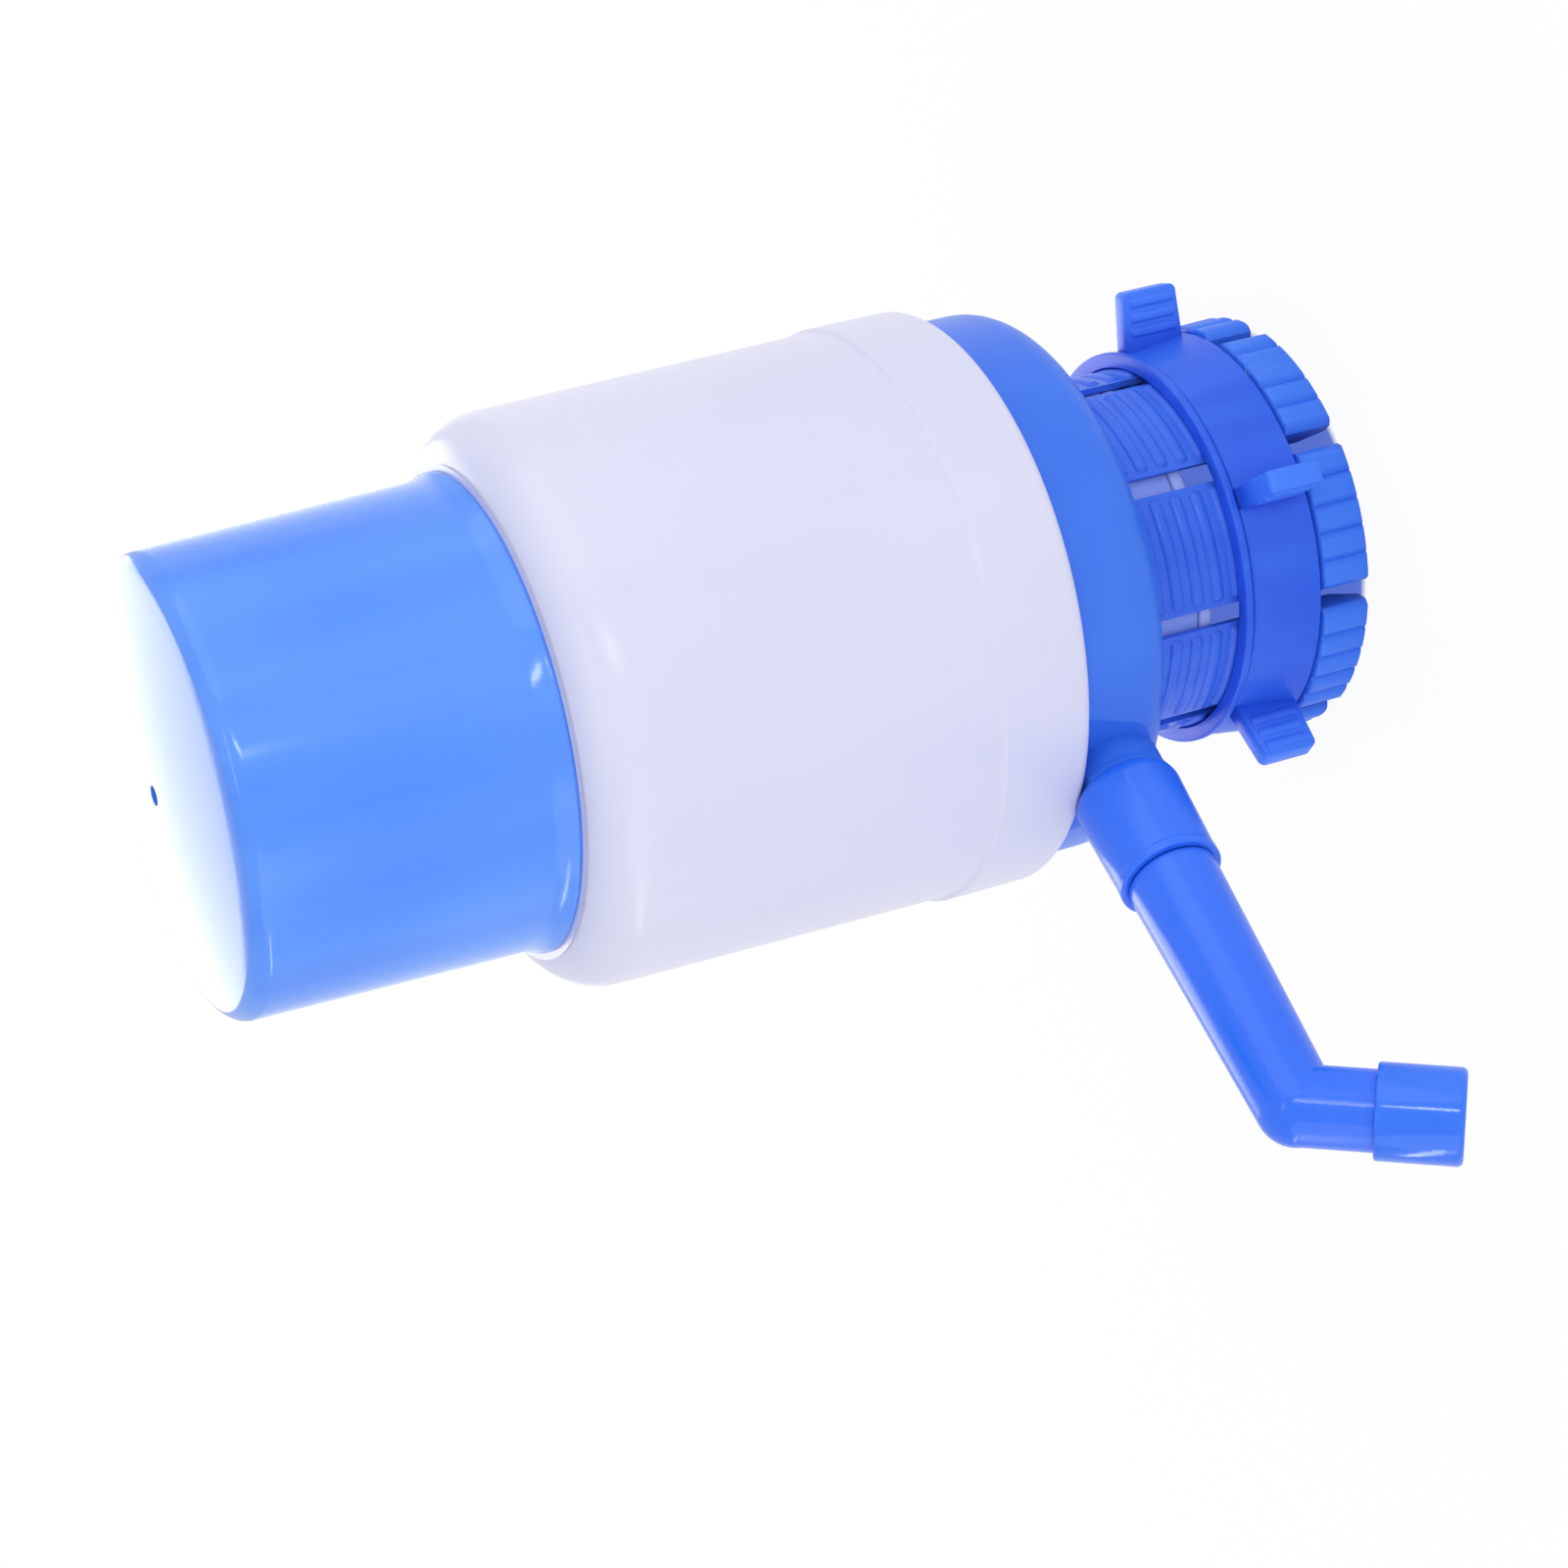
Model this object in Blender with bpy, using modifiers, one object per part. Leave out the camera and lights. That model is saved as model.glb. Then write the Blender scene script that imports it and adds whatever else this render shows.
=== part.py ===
# Water jug hand pump: a press cap over a bellows in a white housing, a blue base
# with a swivelling spout, and a slotted neck collar with a screw-down lock ring.
# Metres, +Z along the pump's axis towards the cap, standing on the collar's fingers.

import math

import bmesh
import bpy
from mathutils import Matrix, Vector

for old in list(bpy.data.objects):
    bpy.data.objects.remove(old, do_unlink=True)

# Facets of the turned shapes
ROUND_STEPS = 36
INNER_STEPS = 24
SMALL_STEPS = 20
VALVE_STEPS = 12
PORT_STEPS = 8
O_RING_SIDES = 6
FILLET_STEPS = 3
DOME_STEPS = 5
SHOULDER_STEPS = 4

# Clearances and overruns shared by the whole pump
SEAT_GAP = 0.0003
RUNNING_GAP = 0.0003
OVERRUN = 0.0010
MERGE = 0.00001

# Bottle neck that the pump clamps on
NECK_RADIUS = 0.0275
NECK_CLEARANCE = 0.0001

# Slotted neck collar
FINGER_COUNT = 8
SLOT_WIDTH = 0.0032
SLOT_START = math.radians(22.5)
COLLAR_ROOT_RADIUS = 0.0286
FLARE_RADIUS = 0.0334
FLARE_HEIGHT = 0.0080
FLARE_FILLET = 0.0006
MOUTH_RADIUS = 0.0300
MOUTH_DEPTH = 0.0040
FLUTES_PER_FINGER = 4
FLUTE_PITCH = math.radians(7.5)
FLUTE_RADIUS = 0.0016
FLUTE_DEPTH = 0.0007
THREAD_CREST = 0.0004
THREAD_RUN = 0.0121
THREAD_SETBACK = 0.0067
THREAD_SLOPE = 0.0006
COLLAR_FLANGE_RADIUS = 0.0316
COLLAR_FLANGE_HEIGHT = 0.0015
SLOT_INTO_BASE = 0.0006

# Lock ring and its slip washer
RING_WALL_TOP = 0.0018
RING_WALL_BOTTOM = 0.0033
RING_HEIGHT = 0.0113
RING_FILLET = 0.0005
RING_TRAVEL = 0.0105
TRAVEL_SPARE = 0.0078
WASHER_THICKNESS = 0.0014
WASHER_OVERHANG = 0.0006
WASHER_FILLET = 0.0003
WING_COUNT = 5
WING_START = math.radians(54.0)
WING_RADIUS = 0.0413
WING_THICKNESS = 0.0034
WING_HEIGHT = 0.0100
WING_TAPER = 0.0012
WING_CORNER = 0.0014
WING_RIB_COUNT = 3
WING_RIB_PITCH = 0.0024
WING_RIB_WIDTH = 0.0010
WING_RIB_PROUD = 0.0004
WING_RIB_INSET = 0.0022
WING_RIB_END = 0.0008

# Blue base
BASE_RADIUS = 0.0427
BASE_WALL = 0.0022
BASE_FLOOR = 0.0016
BASE_DOME = 0.0067
BASE_EXPOSED = 0.0164
SPIGOT_HEIGHT = 0.0087
LEDGE_WIDTH = 0.0020
LEDGE_HEIGHT = 0.0016
LEDGE_SLOPE = 0.0012
FENCE_WALL = 0.0016
FENCE_HEIGHT = 0.0020
OUTLET_ABOVE_BASE = 0.0057
OUTLET_RISE = math.radians(5.0)

# Outlet stub on the base, with a flat face round its root
FACE_AT = 0.0415
FACE_HALF_WIDTH = 0.0140
FACE_LOW = 0.0120
FACE_HIGH = 0.0071
STUB_RADIUS = 0.0074
STUB_ROOT_AT = 0.0382
STUB_FLARE_AT = 0.0449
STUB_FLARE_RADIUS = 0.0078
STUB_SHOULDER_AT = 0.0462
STUB_SPIGOT_RADIUS = 0.0054
STUB_SPIGOT_END = 0.0525
STUB_BORE_RADIUS = 0.0042
STUB_FILLET = 0.0006

# Outlet sleeve
SLEEVE_LENGTH = 0.0173
SLEEVE_ROOT_RADIUS = 0.0079
SLEEVE_FLARE_RADIUS = 0.0083
SLEEVE_FLARE_LENGTH = 0.0013
SLEEVE_RIM_RADIUS = 0.0080
SLEEVE_SEAT = 0.0020
SLEEVE_RIM_FILLET = 0.0004

# Spout tube, nozzle and dust cap
TUBE_RADIUS = 0.0064
TUBE_BORE_RADIUS = 0.0046
TUBE_SHOULDER_RADIUS = 0.0070
NOZZLE_RADIUS = 0.0059
NOZZLE_BORE_RADIUS = 0.0045
ELBOW_RADIUS = 0.0060
ELBOW_REACH = 0.1076
ELBOW_BEND = math.radians(61.0)
ELBOW_STEPS = 8
SPOUT_TURN = math.radians(13.65)
NOZZLE_LENGTH = 0.0215
GROOVE_SETBACK = 0.0034
GROOVE_WIDTH = 0.0016
GROOVE_DEPTH = 0.0010
O_RING_SECTION = 0.0004
DUST_CAP_RADIUS = 0.0070
DUST_CAP_LENGTH = 0.0125
DUST_CAP_END = 0.0017
DUST_CAP_FILLET = 0.0009

# Neck plate with its nipple and socket, and the gasket under it
PLATE_FLANGE_HEIGHT = 0.0016
PLATE_THICKNESS = 0.0022
PLATE_CUP_WALL = 0.0020
PLATE_DROP = 0.0123
PLATE_NOTCH_DEPTH = 0.0005
NIPPLE_LENGTH = 0.0190
NIPPLE_RADIUS = 0.0045
NIPPLE_BARB = 0.0006
NIPPLE_BARB_LENGTH = 0.0040
NIPPLE_BORE_RADIUS = 0.0030
SOCKET_RADIUS = 0.0068
SOCKET_HEIGHT = 0.0050
SOCKET_FLOOR = 0.0010
SEAL_HEIGHT = 0.0010
AIR_HOLE_COUNT = 6
AIR_HOLE_RADIUS = 0.0018
AIR_HOLE_CIRCLE = 0.0130
GASKET_HEIGHT = 0.0022
GASKET_INNER_RADIUS = 0.0185
GASKET_GROOVE = 0.0012
GASKET_LIP = 0.0030
GASKET_FILLET = 0.0005

# Water elbow
ELBOW_TUBE_RADIUS = 0.0039
ELBOW_TUBE_END = 0.0440
ELBOW_TUBE_BORE = 0.0028
WATER_BEND_ROUND = 0.0062
WATER_BEND_STEPS = 6

# Valve deck, its umbrella valve, and the bellows' clamp ring
DECK_THICKNESS = 0.0030
DECK_RING_INNER = 0.0262
DECK_RING_OUTER = 0.0284
DECK_RING_HEIGHT = 0.0058
VALVE_OFFSET = 0.0140
VALVE_HOLE_RADIUS = 0.0016
VALVE_PORT_COUNT = 6
VALVE_PORT_RADIUS = 0.0011
VALVE_PORT_CIRCLE = 0.0042
VALVE_DISC_RADIUS = 0.0064
VALVE_DISC_EDGE = 0.0008
VALVE_DISC_CROWN = 0.0016
VALVE_BULB_RADIUS = 0.0021
VALVE_BULB_HEIGHT = 0.0022
CLAMP_HEIGHT = 0.0020
CLAMP_INNER_RADIUS = 0.0312

# White housing
HOUSING_HEIGHT = 0.0782
HOUSING_RADIUS_TOP = 0.0440
HOUSING_RADIUS_STEP = 0.0448
HOUSING_RADIUS_BAND = 0.0454
HOUSING_BAND_HEIGHT = 0.0150
HOUSING_STEP_SLOPE = 0.0006
HOUSING_WALL = 0.0024
HOUSING_SHOULDER = 0.0090
HOUSING_FOOT_FILLET = 0.0017
HOUSING_LIP_FILLET = 0.0008
HOUSING_RIB_HEIGHT = 0.0020
HOUSING_RIB_SLOPE = 0.0030
RIB_REACH = 0.0048

# Press cap
CAP_EXPOSED = 0.0488
CAP_RADIUS_TOP = 0.0350
CAP_RADIUS_BOTTOM = 0.0359
CAP_GUIDE_GAP = 0.0005
CAP_WALL = 0.0020
CAP_RIM_FILLET = 0.0030
CAP_LIP_RADIUS = 0.0386
CAP_LIP_HEIGHT = 0.0024
CAP_CROWN = 0.0004
PRESS_TRAVEL = 0.0350
VENT_RADIUS = 0.0013
CAP_BOSS_WALL = 0.0018

# Bellows
BELLOWS_WALL = 0.0012
BELLOWS_COUNT = 6
BELLOWS_CREST_RADIUS = 0.0305
BELLOWS_ROOT_RADIUS = 0.0245
BELLOWS_FOOT_RADIUS = 0.0330
BELLOWS_FOOT_HEIGHT = 0.0018
BELLOWS_THROAT_RADIUS = 0.0300
BELLOWS_THROAT_HEIGHT = 0.0066
BELLOWS_MOUTH_RADIUS = 0.0123
BELLOWS_MOUTH_HEIGHT = 0.0100
BELLOWS_SHOULDER_DROP = 0.0030

# Intake valve seat in the bellows' mouth
SEAT_HEIGHT = 0.0050
SEAT_FLOOR = 0.0020
SEAT_WALL = 0.0016
SEAT_DROP = 0.0014

# Levels along the pump's axis, from the finger ends up
ring_bottom = FLARE_HEIGHT + RUNNING_GAP
ring_top = ring_bottom + RING_HEIGHT
washer_bottom = ring_top + RUNNING_GAP
washer_top = washer_bottom + WASHER_THICKNESS
base_bottom = washer_top + RING_TRAVEL + TRAVEL_SPARE
base_floor = base_bottom + BASE_FLOOR
collar_top = base_floor + SEAT_GAP + COLLAR_FLANGE_HEIGHT
plate_seat = collar_top + SEAT_GAP
plate_top = plate_seat + PLATE_FLANGE_HEIGHT
plate_bottom = base_bottom - PLATE_DROP
gasket_top = plate_bottom - SEAT_GAP
gasket_bottom = gasket_top - GASKET_HEIGHT
housing_bottom = base_bottom + BASE_EXPOSED
spigot_top = housing_bottom + SPIGOT_HEIGHT
ledge_top = housing_bottom + LEDGE_HEIGHT
deck_bottom = ledge_top + SEAT_GAP
deck_top = deck_bottom + DECK_THICKNESS
foot_bottom = deck_top + SEAT_GAP
foot_top = foot_bottom + BELLOWS_FOOT_HEIGHT
clamp_bottom = foot_top + SEAT_GAP
clamp_top = clamp_bottom + CLAMP_HEIGHT
rib_bottom = max(spigot_top, clamp_top) + SEAT_GAP
housing_top = housing_bottom + HOUSING_HEIGHT
opening_underside = housing_top - HOUSING_WALL
shoulder_inner = HOUSING_SHOULDER - HOUSING_WALL
shoulder_radius = HOUSING_RADIUS_TOP - HOUSING_SHOULDER
shoulder_height = opening_underside - shoulder_inner
cap_top = housing_top + CAP_EXPOSED
cap_underside = cap_top - CAP_WALL
lip_top = opening_underside - SEAT_GAP
lip_rise = math.sqrt(shoulder_inner ** 2 - (CAP_LIP_RADIUS - shoulder_radius) ** 2)
lip_edge = shoulder_height + lip_rise - 2 * SEAT_GAP
lip_bottom = lip_top - CAP_LIP_HEIGHT
mouth_top = cap_underside - SEAT_GAP
mouth_bottom = mouth_top - BELLOWS_MOUTH_HEIGHT
outlet_height = base_bottom + OUTLET_ABOVE_BASE

# Radii that follow their neighbours
collar_bore = NECK_RADIUS + NECK_CLEARANCE
thread_radius = COLLAR_ROOT_RADIUS + THREAD_CREST
ring_bore = thread_radius + RUNNING_GAP
base_hole = COLLAR_ROOT_RADIUS + SEAT_GAP
fence_radius = COLLAR_FLANGE_RADIUS + SEAT_GAP
base_inner = BASE_RADIUS - BASE_WALL
deck_radius = base_inner - SEAT_GAP
cap_guide = CAP_RADIUS_BOTTOM + CAP_GUIDE_GAP
sleeve_bore = TUBE_RADIUS + SEAT_GAP
cap_bore = NOZZLE_RADIUS + SEAT_GAP
boss_bore = BELLOWS_MOUTH_RADIUS + SEAT_GAP
mouth_bore = BELLOWS_MOUTH_RADIUS - BELLOWS_WALL
seat_radius = mouth_bore - SEAT_GAP

# Places along the outlet's axis, from the pump's axis out
sleeve_start = STUB_SHOULDER_AT + SEAT_GAP
sleeve_end = sleeve_start + SLEEVE_LENGTH
tube_start = STUB_SPIGOT_END + SLEEVE_SEAT
tube_shoulder = sleeve_end + SEAT_GAP
groove_start = tube_start + GROOVE_SETBACK
dust_cap_start = NOZZLE_LENGTH + SEAT_GAP + DUST_CAP_END - DUST_CAP_LENGTH
dust_cap_tip = dust_cap_start + DUST_CAP_LENGTH

# The pump's axis stands to one side of the middle of the whole part's footprint
nozzle_along = (math.cos(ELBOW_BEND) * math.cos(OUTLET_RISE)
                + math.sin(ELBOW_BEND) * math.cos(SPOUT_TURN) * math.sin(OUTLET_RISE))
spout_reach = (
    ELBOW_REACH * math.cos(OUTLET_RISE)
    + (dust_cap_tip - DUST_CAP_FILLET) * nozzle_along
    + (DUST_CAP_RADIUS - DUST_CAP_FILLET) * math.sqrt(1 - nozzle_along ** 2)
    + DUST_CAP_FILLET
)
axis_offset = (HOUSING_RADIUS_BAND - spout_reach) / 2

parts = bpy.data.collections.new("water_jug_hand_pump")
shapers = bpy.data.collections.new("shapers")
bpy.context.scene.collection.children.link(parts)
bpy.context.scene.collection.children.link(shapers)


def make_material(name, colour, roughness):
    material = bpy.data.materials.new(name)
    material.use_nodes = True
    shader = material.node_tree.nodes["Principled BSDF"]
    shader.inputs["Base Color"].default_value = (*colour, 1.0)
    shader.inputs["Roughness"].default_value = roughness
    shader.inputs["Metallic"].default_value = 0.0
    return material


cap_blue = (0.10, 0.32, 0.95)
base_blue = (0.045, 0.18, 0.83)
collar_blue = (0.035, 0.14, 0.76)
housing_white = (0.78, 0.79, 0.93)
natural_white = (0.80, 0.80, 0.82)
silicone_white = (0.86, 0.86, 0.88)
rubber_dark = (0.05, 0.05, 0.06)


def make_empty(name, parent, location=(0, 0, 0), rotation=(0, 0, 0)):
    empty = bpy.data.objects.new(name, None)
    empty.parent = parent
    empty.location = location
    empty.rotation_euler = rotation
    parts.objects.link(empty)
    return empty


def place(name, mesh, parent, rotation=(0, 0, 0), location=(0, 0, 0), finish=None):
    # A finish makes the object a piece of the pump; without one it only shapes others.
    made = bpy.data.objects.new(name, mesh)
    made.parent = parent
    made.location = location
    made.rotation_euler = rotation
    if finish is None:
        made.hide_render = True
        made.display_type = "WIRE"
        shapers.objects.link(made)
    else:
        colour, roughness = finish
        mesh.materials.append(make_material(name, colour, roughness))
        parts.objects.link(made)
    return made


def rounded(corners, closed=True, steps=FILLET_STEPS):
    # Each corner is (radius, height, fillet); a fillet becomes an arc between the sides.
    points = []
    count = len(corners)
    for index, (radius, height, fillet) in enumerate(corners):
        corner = Vector((radius, height))
        at_end = not closed and index in (0, count - 1)
        if fillet == 0 or at_end:
            points.append(corner)
            continue
        before = (Vector(corners[index - 1][:2]) - corner).normalized()
        after = (Vector(corners[(index + 1) % count][:2]) - corner).normalized()
        half = before.angle(after) / 2
        centre = corner + (before + after).normalized() * fillet / math.sin(half)
        start = corner + before * fillet / math.tan(half) - centre
        end = corner + after * fillet / math.tan(half) - centre
        sweep = start.angle(end)
        for step in range(steps + 1):
            share = step / steps
            blend = start * math.sin((1 - share) * sweep) + end * math.sin(share * sweep)
            points.append(centre + blend / math.sin(sweep))
    return points


def arc(radius, centre, first, last, steps):
    # Points (radius, height) on an arc from one angle above the horizontal to another.
    return [(centre[0] + radius * math.cos(first + (last - first) * step / steps),
             centre[1] + radius * math.sin(first + (last - first) * step / steps))
            for step in range(steps + 1)]


def turned(name, points, parent, closed=True, steps=ROUND_STEPS, rotation=(0, 0, 0),
           location=(0, 0, 0), finish=None):
    # The profile runs down its outer side, and is turned about the object's own Z.
    mesh = bpy.data.meshes.new(name)
    edges = [(index, index + 1) for index in range(len(points) - 1)]
    if closed:
        edges.append((len(points) - 1, 0))
    mesh.from_pydata([(point[0], 0, point[1]) for point in points], edges, [])
    made = place(name, mesh, parent, rotation, location, finish)
    screw = made.modifiers.new("turn", "SCREW")
    screw.axis = "Z"
    screw.angle = 2 * math.pi
    screw.steps = steps
    screw.render_steps = steps
    screw.use_merge_vertices = True
    screw.merge_threshold = MERGE
    screw.use_normal_calculate = False
    screw.use_smooth_shade = True
    return made


def boolean(made, operation, tool):
    step = made.modifiers.new(tool.name, "BOOLEAN")
    step.operation = operation
    step.solver = "EXACT"
    step.object = tool


def mesh_of(made):
    # The finished shape of an object as a plain mesh with its seams welded.
    bpy.context.view_layer.update()
    graph = bpy.context.evaluated_depsgraph_get()
    mesh = bpy.data.meshes.new_from_object(made.evaluated_get(graph))
    shape = bmesh.new()
    shape.from_mesh(mesh)
    bmesh.ops.remove_doubles(shape, verts=shape.verts, dist=MERGE)
    shape.to_mesh(mesh)
    shape.free()
    return mesh


def pins(name, parent, radius, bottom, top, centres, steps=SMALL_STEPS, rotation=(0, 0, 0)):
    # Straight round cutters along Z, one at each centre.
    mesh = bpy.data.meshes.new(name)
    shape = bmesh.new()
    for x, y in centres:
        middle = Matrix.Translation((x, y, (bottom + top) / 2))
        bmesh.ops.create_cone(shape, cap_ends=True, segments=steps, radius1=radius,
                              radius2=radius, depth=top - bottom, matrix=middle)
    shape.to_mesh(mesh)
    shape.free()
    return place(name, mesh, parent, rotation)


def boxes(name, parent, low, high, angles):
    # Boxes from low to high corner, turned about Z to each angle.
    mesh = bpy.data.meshes.new(name)
    shape = bmesh.new()
    size = [b - a for a, b in zip(low, high)]
    middle = [(a + b) / 2 for a, b in zip(low, high)]
    for angle in angles:
        matrix = (Matrix.Rotation(angle, 4, "Z") @ Matrix.Translation(middle)
                  @ Matrix.Diagonal((*size, 1.0)))
        bmesh.ops.create_cube(shape, size=1.0, matrix=matrix)
    shape.to_mesh(mesh)
    shape.free()
    return place(name, mesh, parent)


def circle_places(count, radius, start=0.0, centre=(0, 0)):
    turn = 2 * math.pi / count
    return [(centre[0] + radius * math.cos(start + k * turn),
             centre[1] + radius * math.sin(start + k * turn)) for k in range(count)]


def bent_path(first, corner, last, bend, steps):
    # Points from first to last in the XZ plane, with an arc of radius bend at the corner.
    start, middle, end = Vector(first), Vector(corner), Vector(last)
    before = (start - middle).normalized()
    after = (end - middle).normalized()
    half = before.angle(after) / 2
    centre = middle + (before + after).normalized() * bend / math.sin(half)
    arc_start = middle + before * bend / math.tan(half) - centre
    arc_end = middle + after * bend / math.tan(half) - centre
    sweep = arc_start.angle(arc_end)
    points = [start]
    for step in range(steps + 1):
        share = step / steps
        blend = (arc_start * math.sin((1 - share) * sweep)
                 + arc_end * math.sin(share * sweep))
        points.append(centre + blend / math.sin(sweep))
    points.append(end)
    return points


def tube(name, points, radius, shares, parent, resolution, finish=None, tilt=0.0):
    # A round bar along the points; shares are its radius at each point against the full one.
    curve = bpy.data.curves.new(name, "CURVE")
    curve.dimensions = "3D"
    curve.bevel_depth = radius
    curve.bevel_resolution = resolution
    curve.use_fill_caps = True
    spline = curve.splines.new("POLY")
    spline.points.add(len(points) - 1)
    for knot, (x, z), share in zip(spline.points, points, shares):
        knot.co = (x, 0, z, 1)
        knot.radius = share
        knot.tilt = tilt
    route = bpy.data.objects.new(name, curve)
    shapers.objects.link(route)
    mesh = mesh_of(route)
    bpy.data.objects.remove(route)
    made = place(name, mesh, parent, finish=finish)
    return made


pump_axis = make_empty("pump_axis", None, (axis_offset, 0, 0))
outlet_axis = make_empty("outlet_axis", pump_axis, (0, 0, outlet_height), (0, -OUTLET_RISE, 0))
spout_axis = make_empty("spout_axis", outlet_axis, rotation=(SPOUT_TURN, 0, 0))
nozzle_axis = make_empty("nozzle_axis", spout_axis, (ELBOW_REACH, 0, 0), (0, ELBOW_BEND, 0))
along_x = (0, math.pi / 2, 0)


# Slotted collar: fingers with thread ridges and fluted flared ends
def neck_collar():
    profile = [(COLLAR_FLANGE_RADIUS, collar_top, 0),
               (COLLAR_FLANGE_RADIUS, base_floor + SEAT_GAP, 0),
               (COLLAR_ROOT_RADIUS, base_floor + SEAT_GAP, 0)]
    thread_top = base_bottom - THREAD_SETBACK
    thread_bottom = thread_top - THREAD_RUN
    profile += [(COLLAR_ROOT_RADIUS, thread_top, 0),
                (thread_radius, thread_top - THREAD_SLOPE, 0),
                (thread_radius, thread_bottom + THREAD_SLOPE, 0),
                (COLLAR_ROOT_RADIUS, thread_bottom, 0),
                (COLLAR_ROOT_RADIUS, FLARE_HEIGHT, 0),
                (FLARE_RADIUS, FLARE_HEIGHT, FLARE_FILLET),
                (FLARE_RADIUS, 0, FLARE_FILLET),
                (MOUTH_RADIUS, 0, 0),
                (collar_bore, MOUTH_DEPTH, 0),
                (collar_bore, collar_top, 0)]
    collar = turned("neck_collar", rounded(profile, steps=2), pump_axis,
                    finish=(collar_blue, 0.35))
    slot_angles = [SLOT_START + k * 2 * math.pi / FINGER_COUNT for k in range(FINGER_COUNT)]
    slots = boxes("finger_slots", pump_axis,
                  (GASKET_INNER_RADIUS, -SLOT_WIDTH / 2, -OVERRUN),
                  (FLARE_RADIUS + OVERRUN, SLOT_WIDTH / 2, base_bottom + SLOT_INTO_BASE),
                  slot_angles)
    flute_places = []
    reach = FLARE_RADIUS + FLUTE_RADIUS - FLUTE_DEPTH
    for k in range(FINGER_COUNT):
        centre = SLOT_START + (k + 0.5) * 2 * math.pi / FINGER_COUNT
        for flute in range(FLUTES_PER_FINGER):
            angle = centre + (flute - (FLUTES_PER_FINGER - 1) / 2) * FLUTE_PITCH
            flute_places.append((reach * math.cos(angle), reach * math.sin(angle)))
    flutes = pins("finger_flutes", pump_axis, FLUTE_RADIUS, -OVERRUN,
                  FLARE_HEIGHT + OVERRUN, flute_places, steps=SMALL_STEPS)
    boolean(collar, "DIFFERENCE", slots)
    boolean(collar, "DIFFERENCE", flutes)
    return collar


# Lock ring with its ribbed wings, and the slip washer above it
def wing_mesh():
    outline = bpy.data.curves.new("wing_outline", "CURVE")
    outline.dimensions = "2D"
    outline.fill_mode = "BOTH"
    outline.extrude = WING_THICKNESS / 2
    inner = ring_bore + RING_WALL_TOP / 2
    top = ring_top
    bottom = ring_top - WING_HEIGHT
    points = rounded([(inner, top, 0), (WING_RADIUS, top - WING_TAPER, WING_CORNER),
                      (WING_RADIUS, bottom, WING_CORNER), (inner, bottom, 0)], steps=2)
    spline = outline.splines.new("POLY")
    spline.points.add(len(points) - 1)
    spline.use_cyclic_u = True
    for knot, (x, z) in zip(spline.points, points):
        knot.co = (x, z, 0, 1)
    plate = bpy.data.objects.new("wing_plate", outline)
    shapers.objects.link(plate)
    mesh = mesh_of(plate)
    bpy.data.objects.remove(plate)
    # The outline was drawn in XY; standing it up puts its height along Z.
    mesh.transform(Matrix.Rotation(math.pi / 2, 4, "X"))
    wing = place("wing", mesh, pump_axis)
    low = bottom + WING_RIB_END
    high = top - WING_TAPER - WING_RIB_END
    half = WING_THICKNESS / 2 + WING_RIB_PROUD
    for rib in range(WING_RIB_COUNT):
        outer = WING_RADIUS - WING_RIB_INSET - rib * WING_RIB_PITCH
        bar = boxes("wing_rib_%d" % rib, pump_axis, (outer - WING_RIB_WIDTH, -half, low),
                    (outer, half, high), [0.0])
        boolean(wing, "UNION", bar)
    return mesh_of(wing)


def lock_ring():
    profile = [(ring_bore + RING_WALL_TOP, ring_top, RING_FILLET),
               (ring_bore + RING_WALL_BOTTOM, ring_bottom, RING_FILLET),
               (ring_bore, ring_bottom, 0),
               (ring_bore, ring_top, 0)]
    ring = turned("lock_ring", rounded(profile, steps=2), pump_axis, finish=(base_blue, 0.35))
    mesh = wing_mesh()
    for k in range(WING_COUNT):
        angle = WING_START + k * 2 * math.pi / WING_COUNT
        wing = place("wing_%d" % k, mesh, pump_axis, rotation=(0, 0, angle))
        boolean(ring, "UNION", wing)
    washer_radius = ring_bore + RING_WALL_TOP + WASHER_OVERHANG
    washer = [(washer_radius, washer_top, WASHER_FILLET),
              (washer_radius, washer_bottom, WASHER_FILLET),
              (ring_bore, washer_bottom, 0),
              (ring_bore, washer_top, 0)]
    turned("ring_washer", rounded(washer, steps=1), pump_axis, finish=(base_blue, 0.35))


# Outlet stub, flat on top where it passes under the housing
def outlet_stub():
    stub = [(0, STUB_SPIGOT_END, 0),
            (STUB_SPIGOT_RADIUS, STUB_SPIGOT_END, STUB_FILLET),
            (STUB_SPIGOT_RADIUS, STUB_SHOULDER_AT, 0),
            (STUB_FLARE_RADIUS, STUB_SHOULDER_AT, 0),
            (STUB_RADIUS, STUB_FLARE_AT, 0),
            (STUB_RADIUS, STUB_ROOT_AT, 0),
            (0, STUB_ROOT_AT, 0)]
    stub_body = turned("outlet_stub", rounded(stub, closed=False, steps=2), outlet_axis,
                       closed=False, steps=SMALL_STEPS, rotation=along_x)
    foot_clearance = pins("foot_clearance", pump_axis, STUB_SHOULDER_AT + OVERRUN,
                          housing_bottom - SEAT_GAP, housing_bottom + STUB_RADIUS,
                          [(0, 0)], steps=ROUND_STEPS)
    boolean(stub_body, "DIFFERENCE", foot_clearance)
    return stub_body


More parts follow.
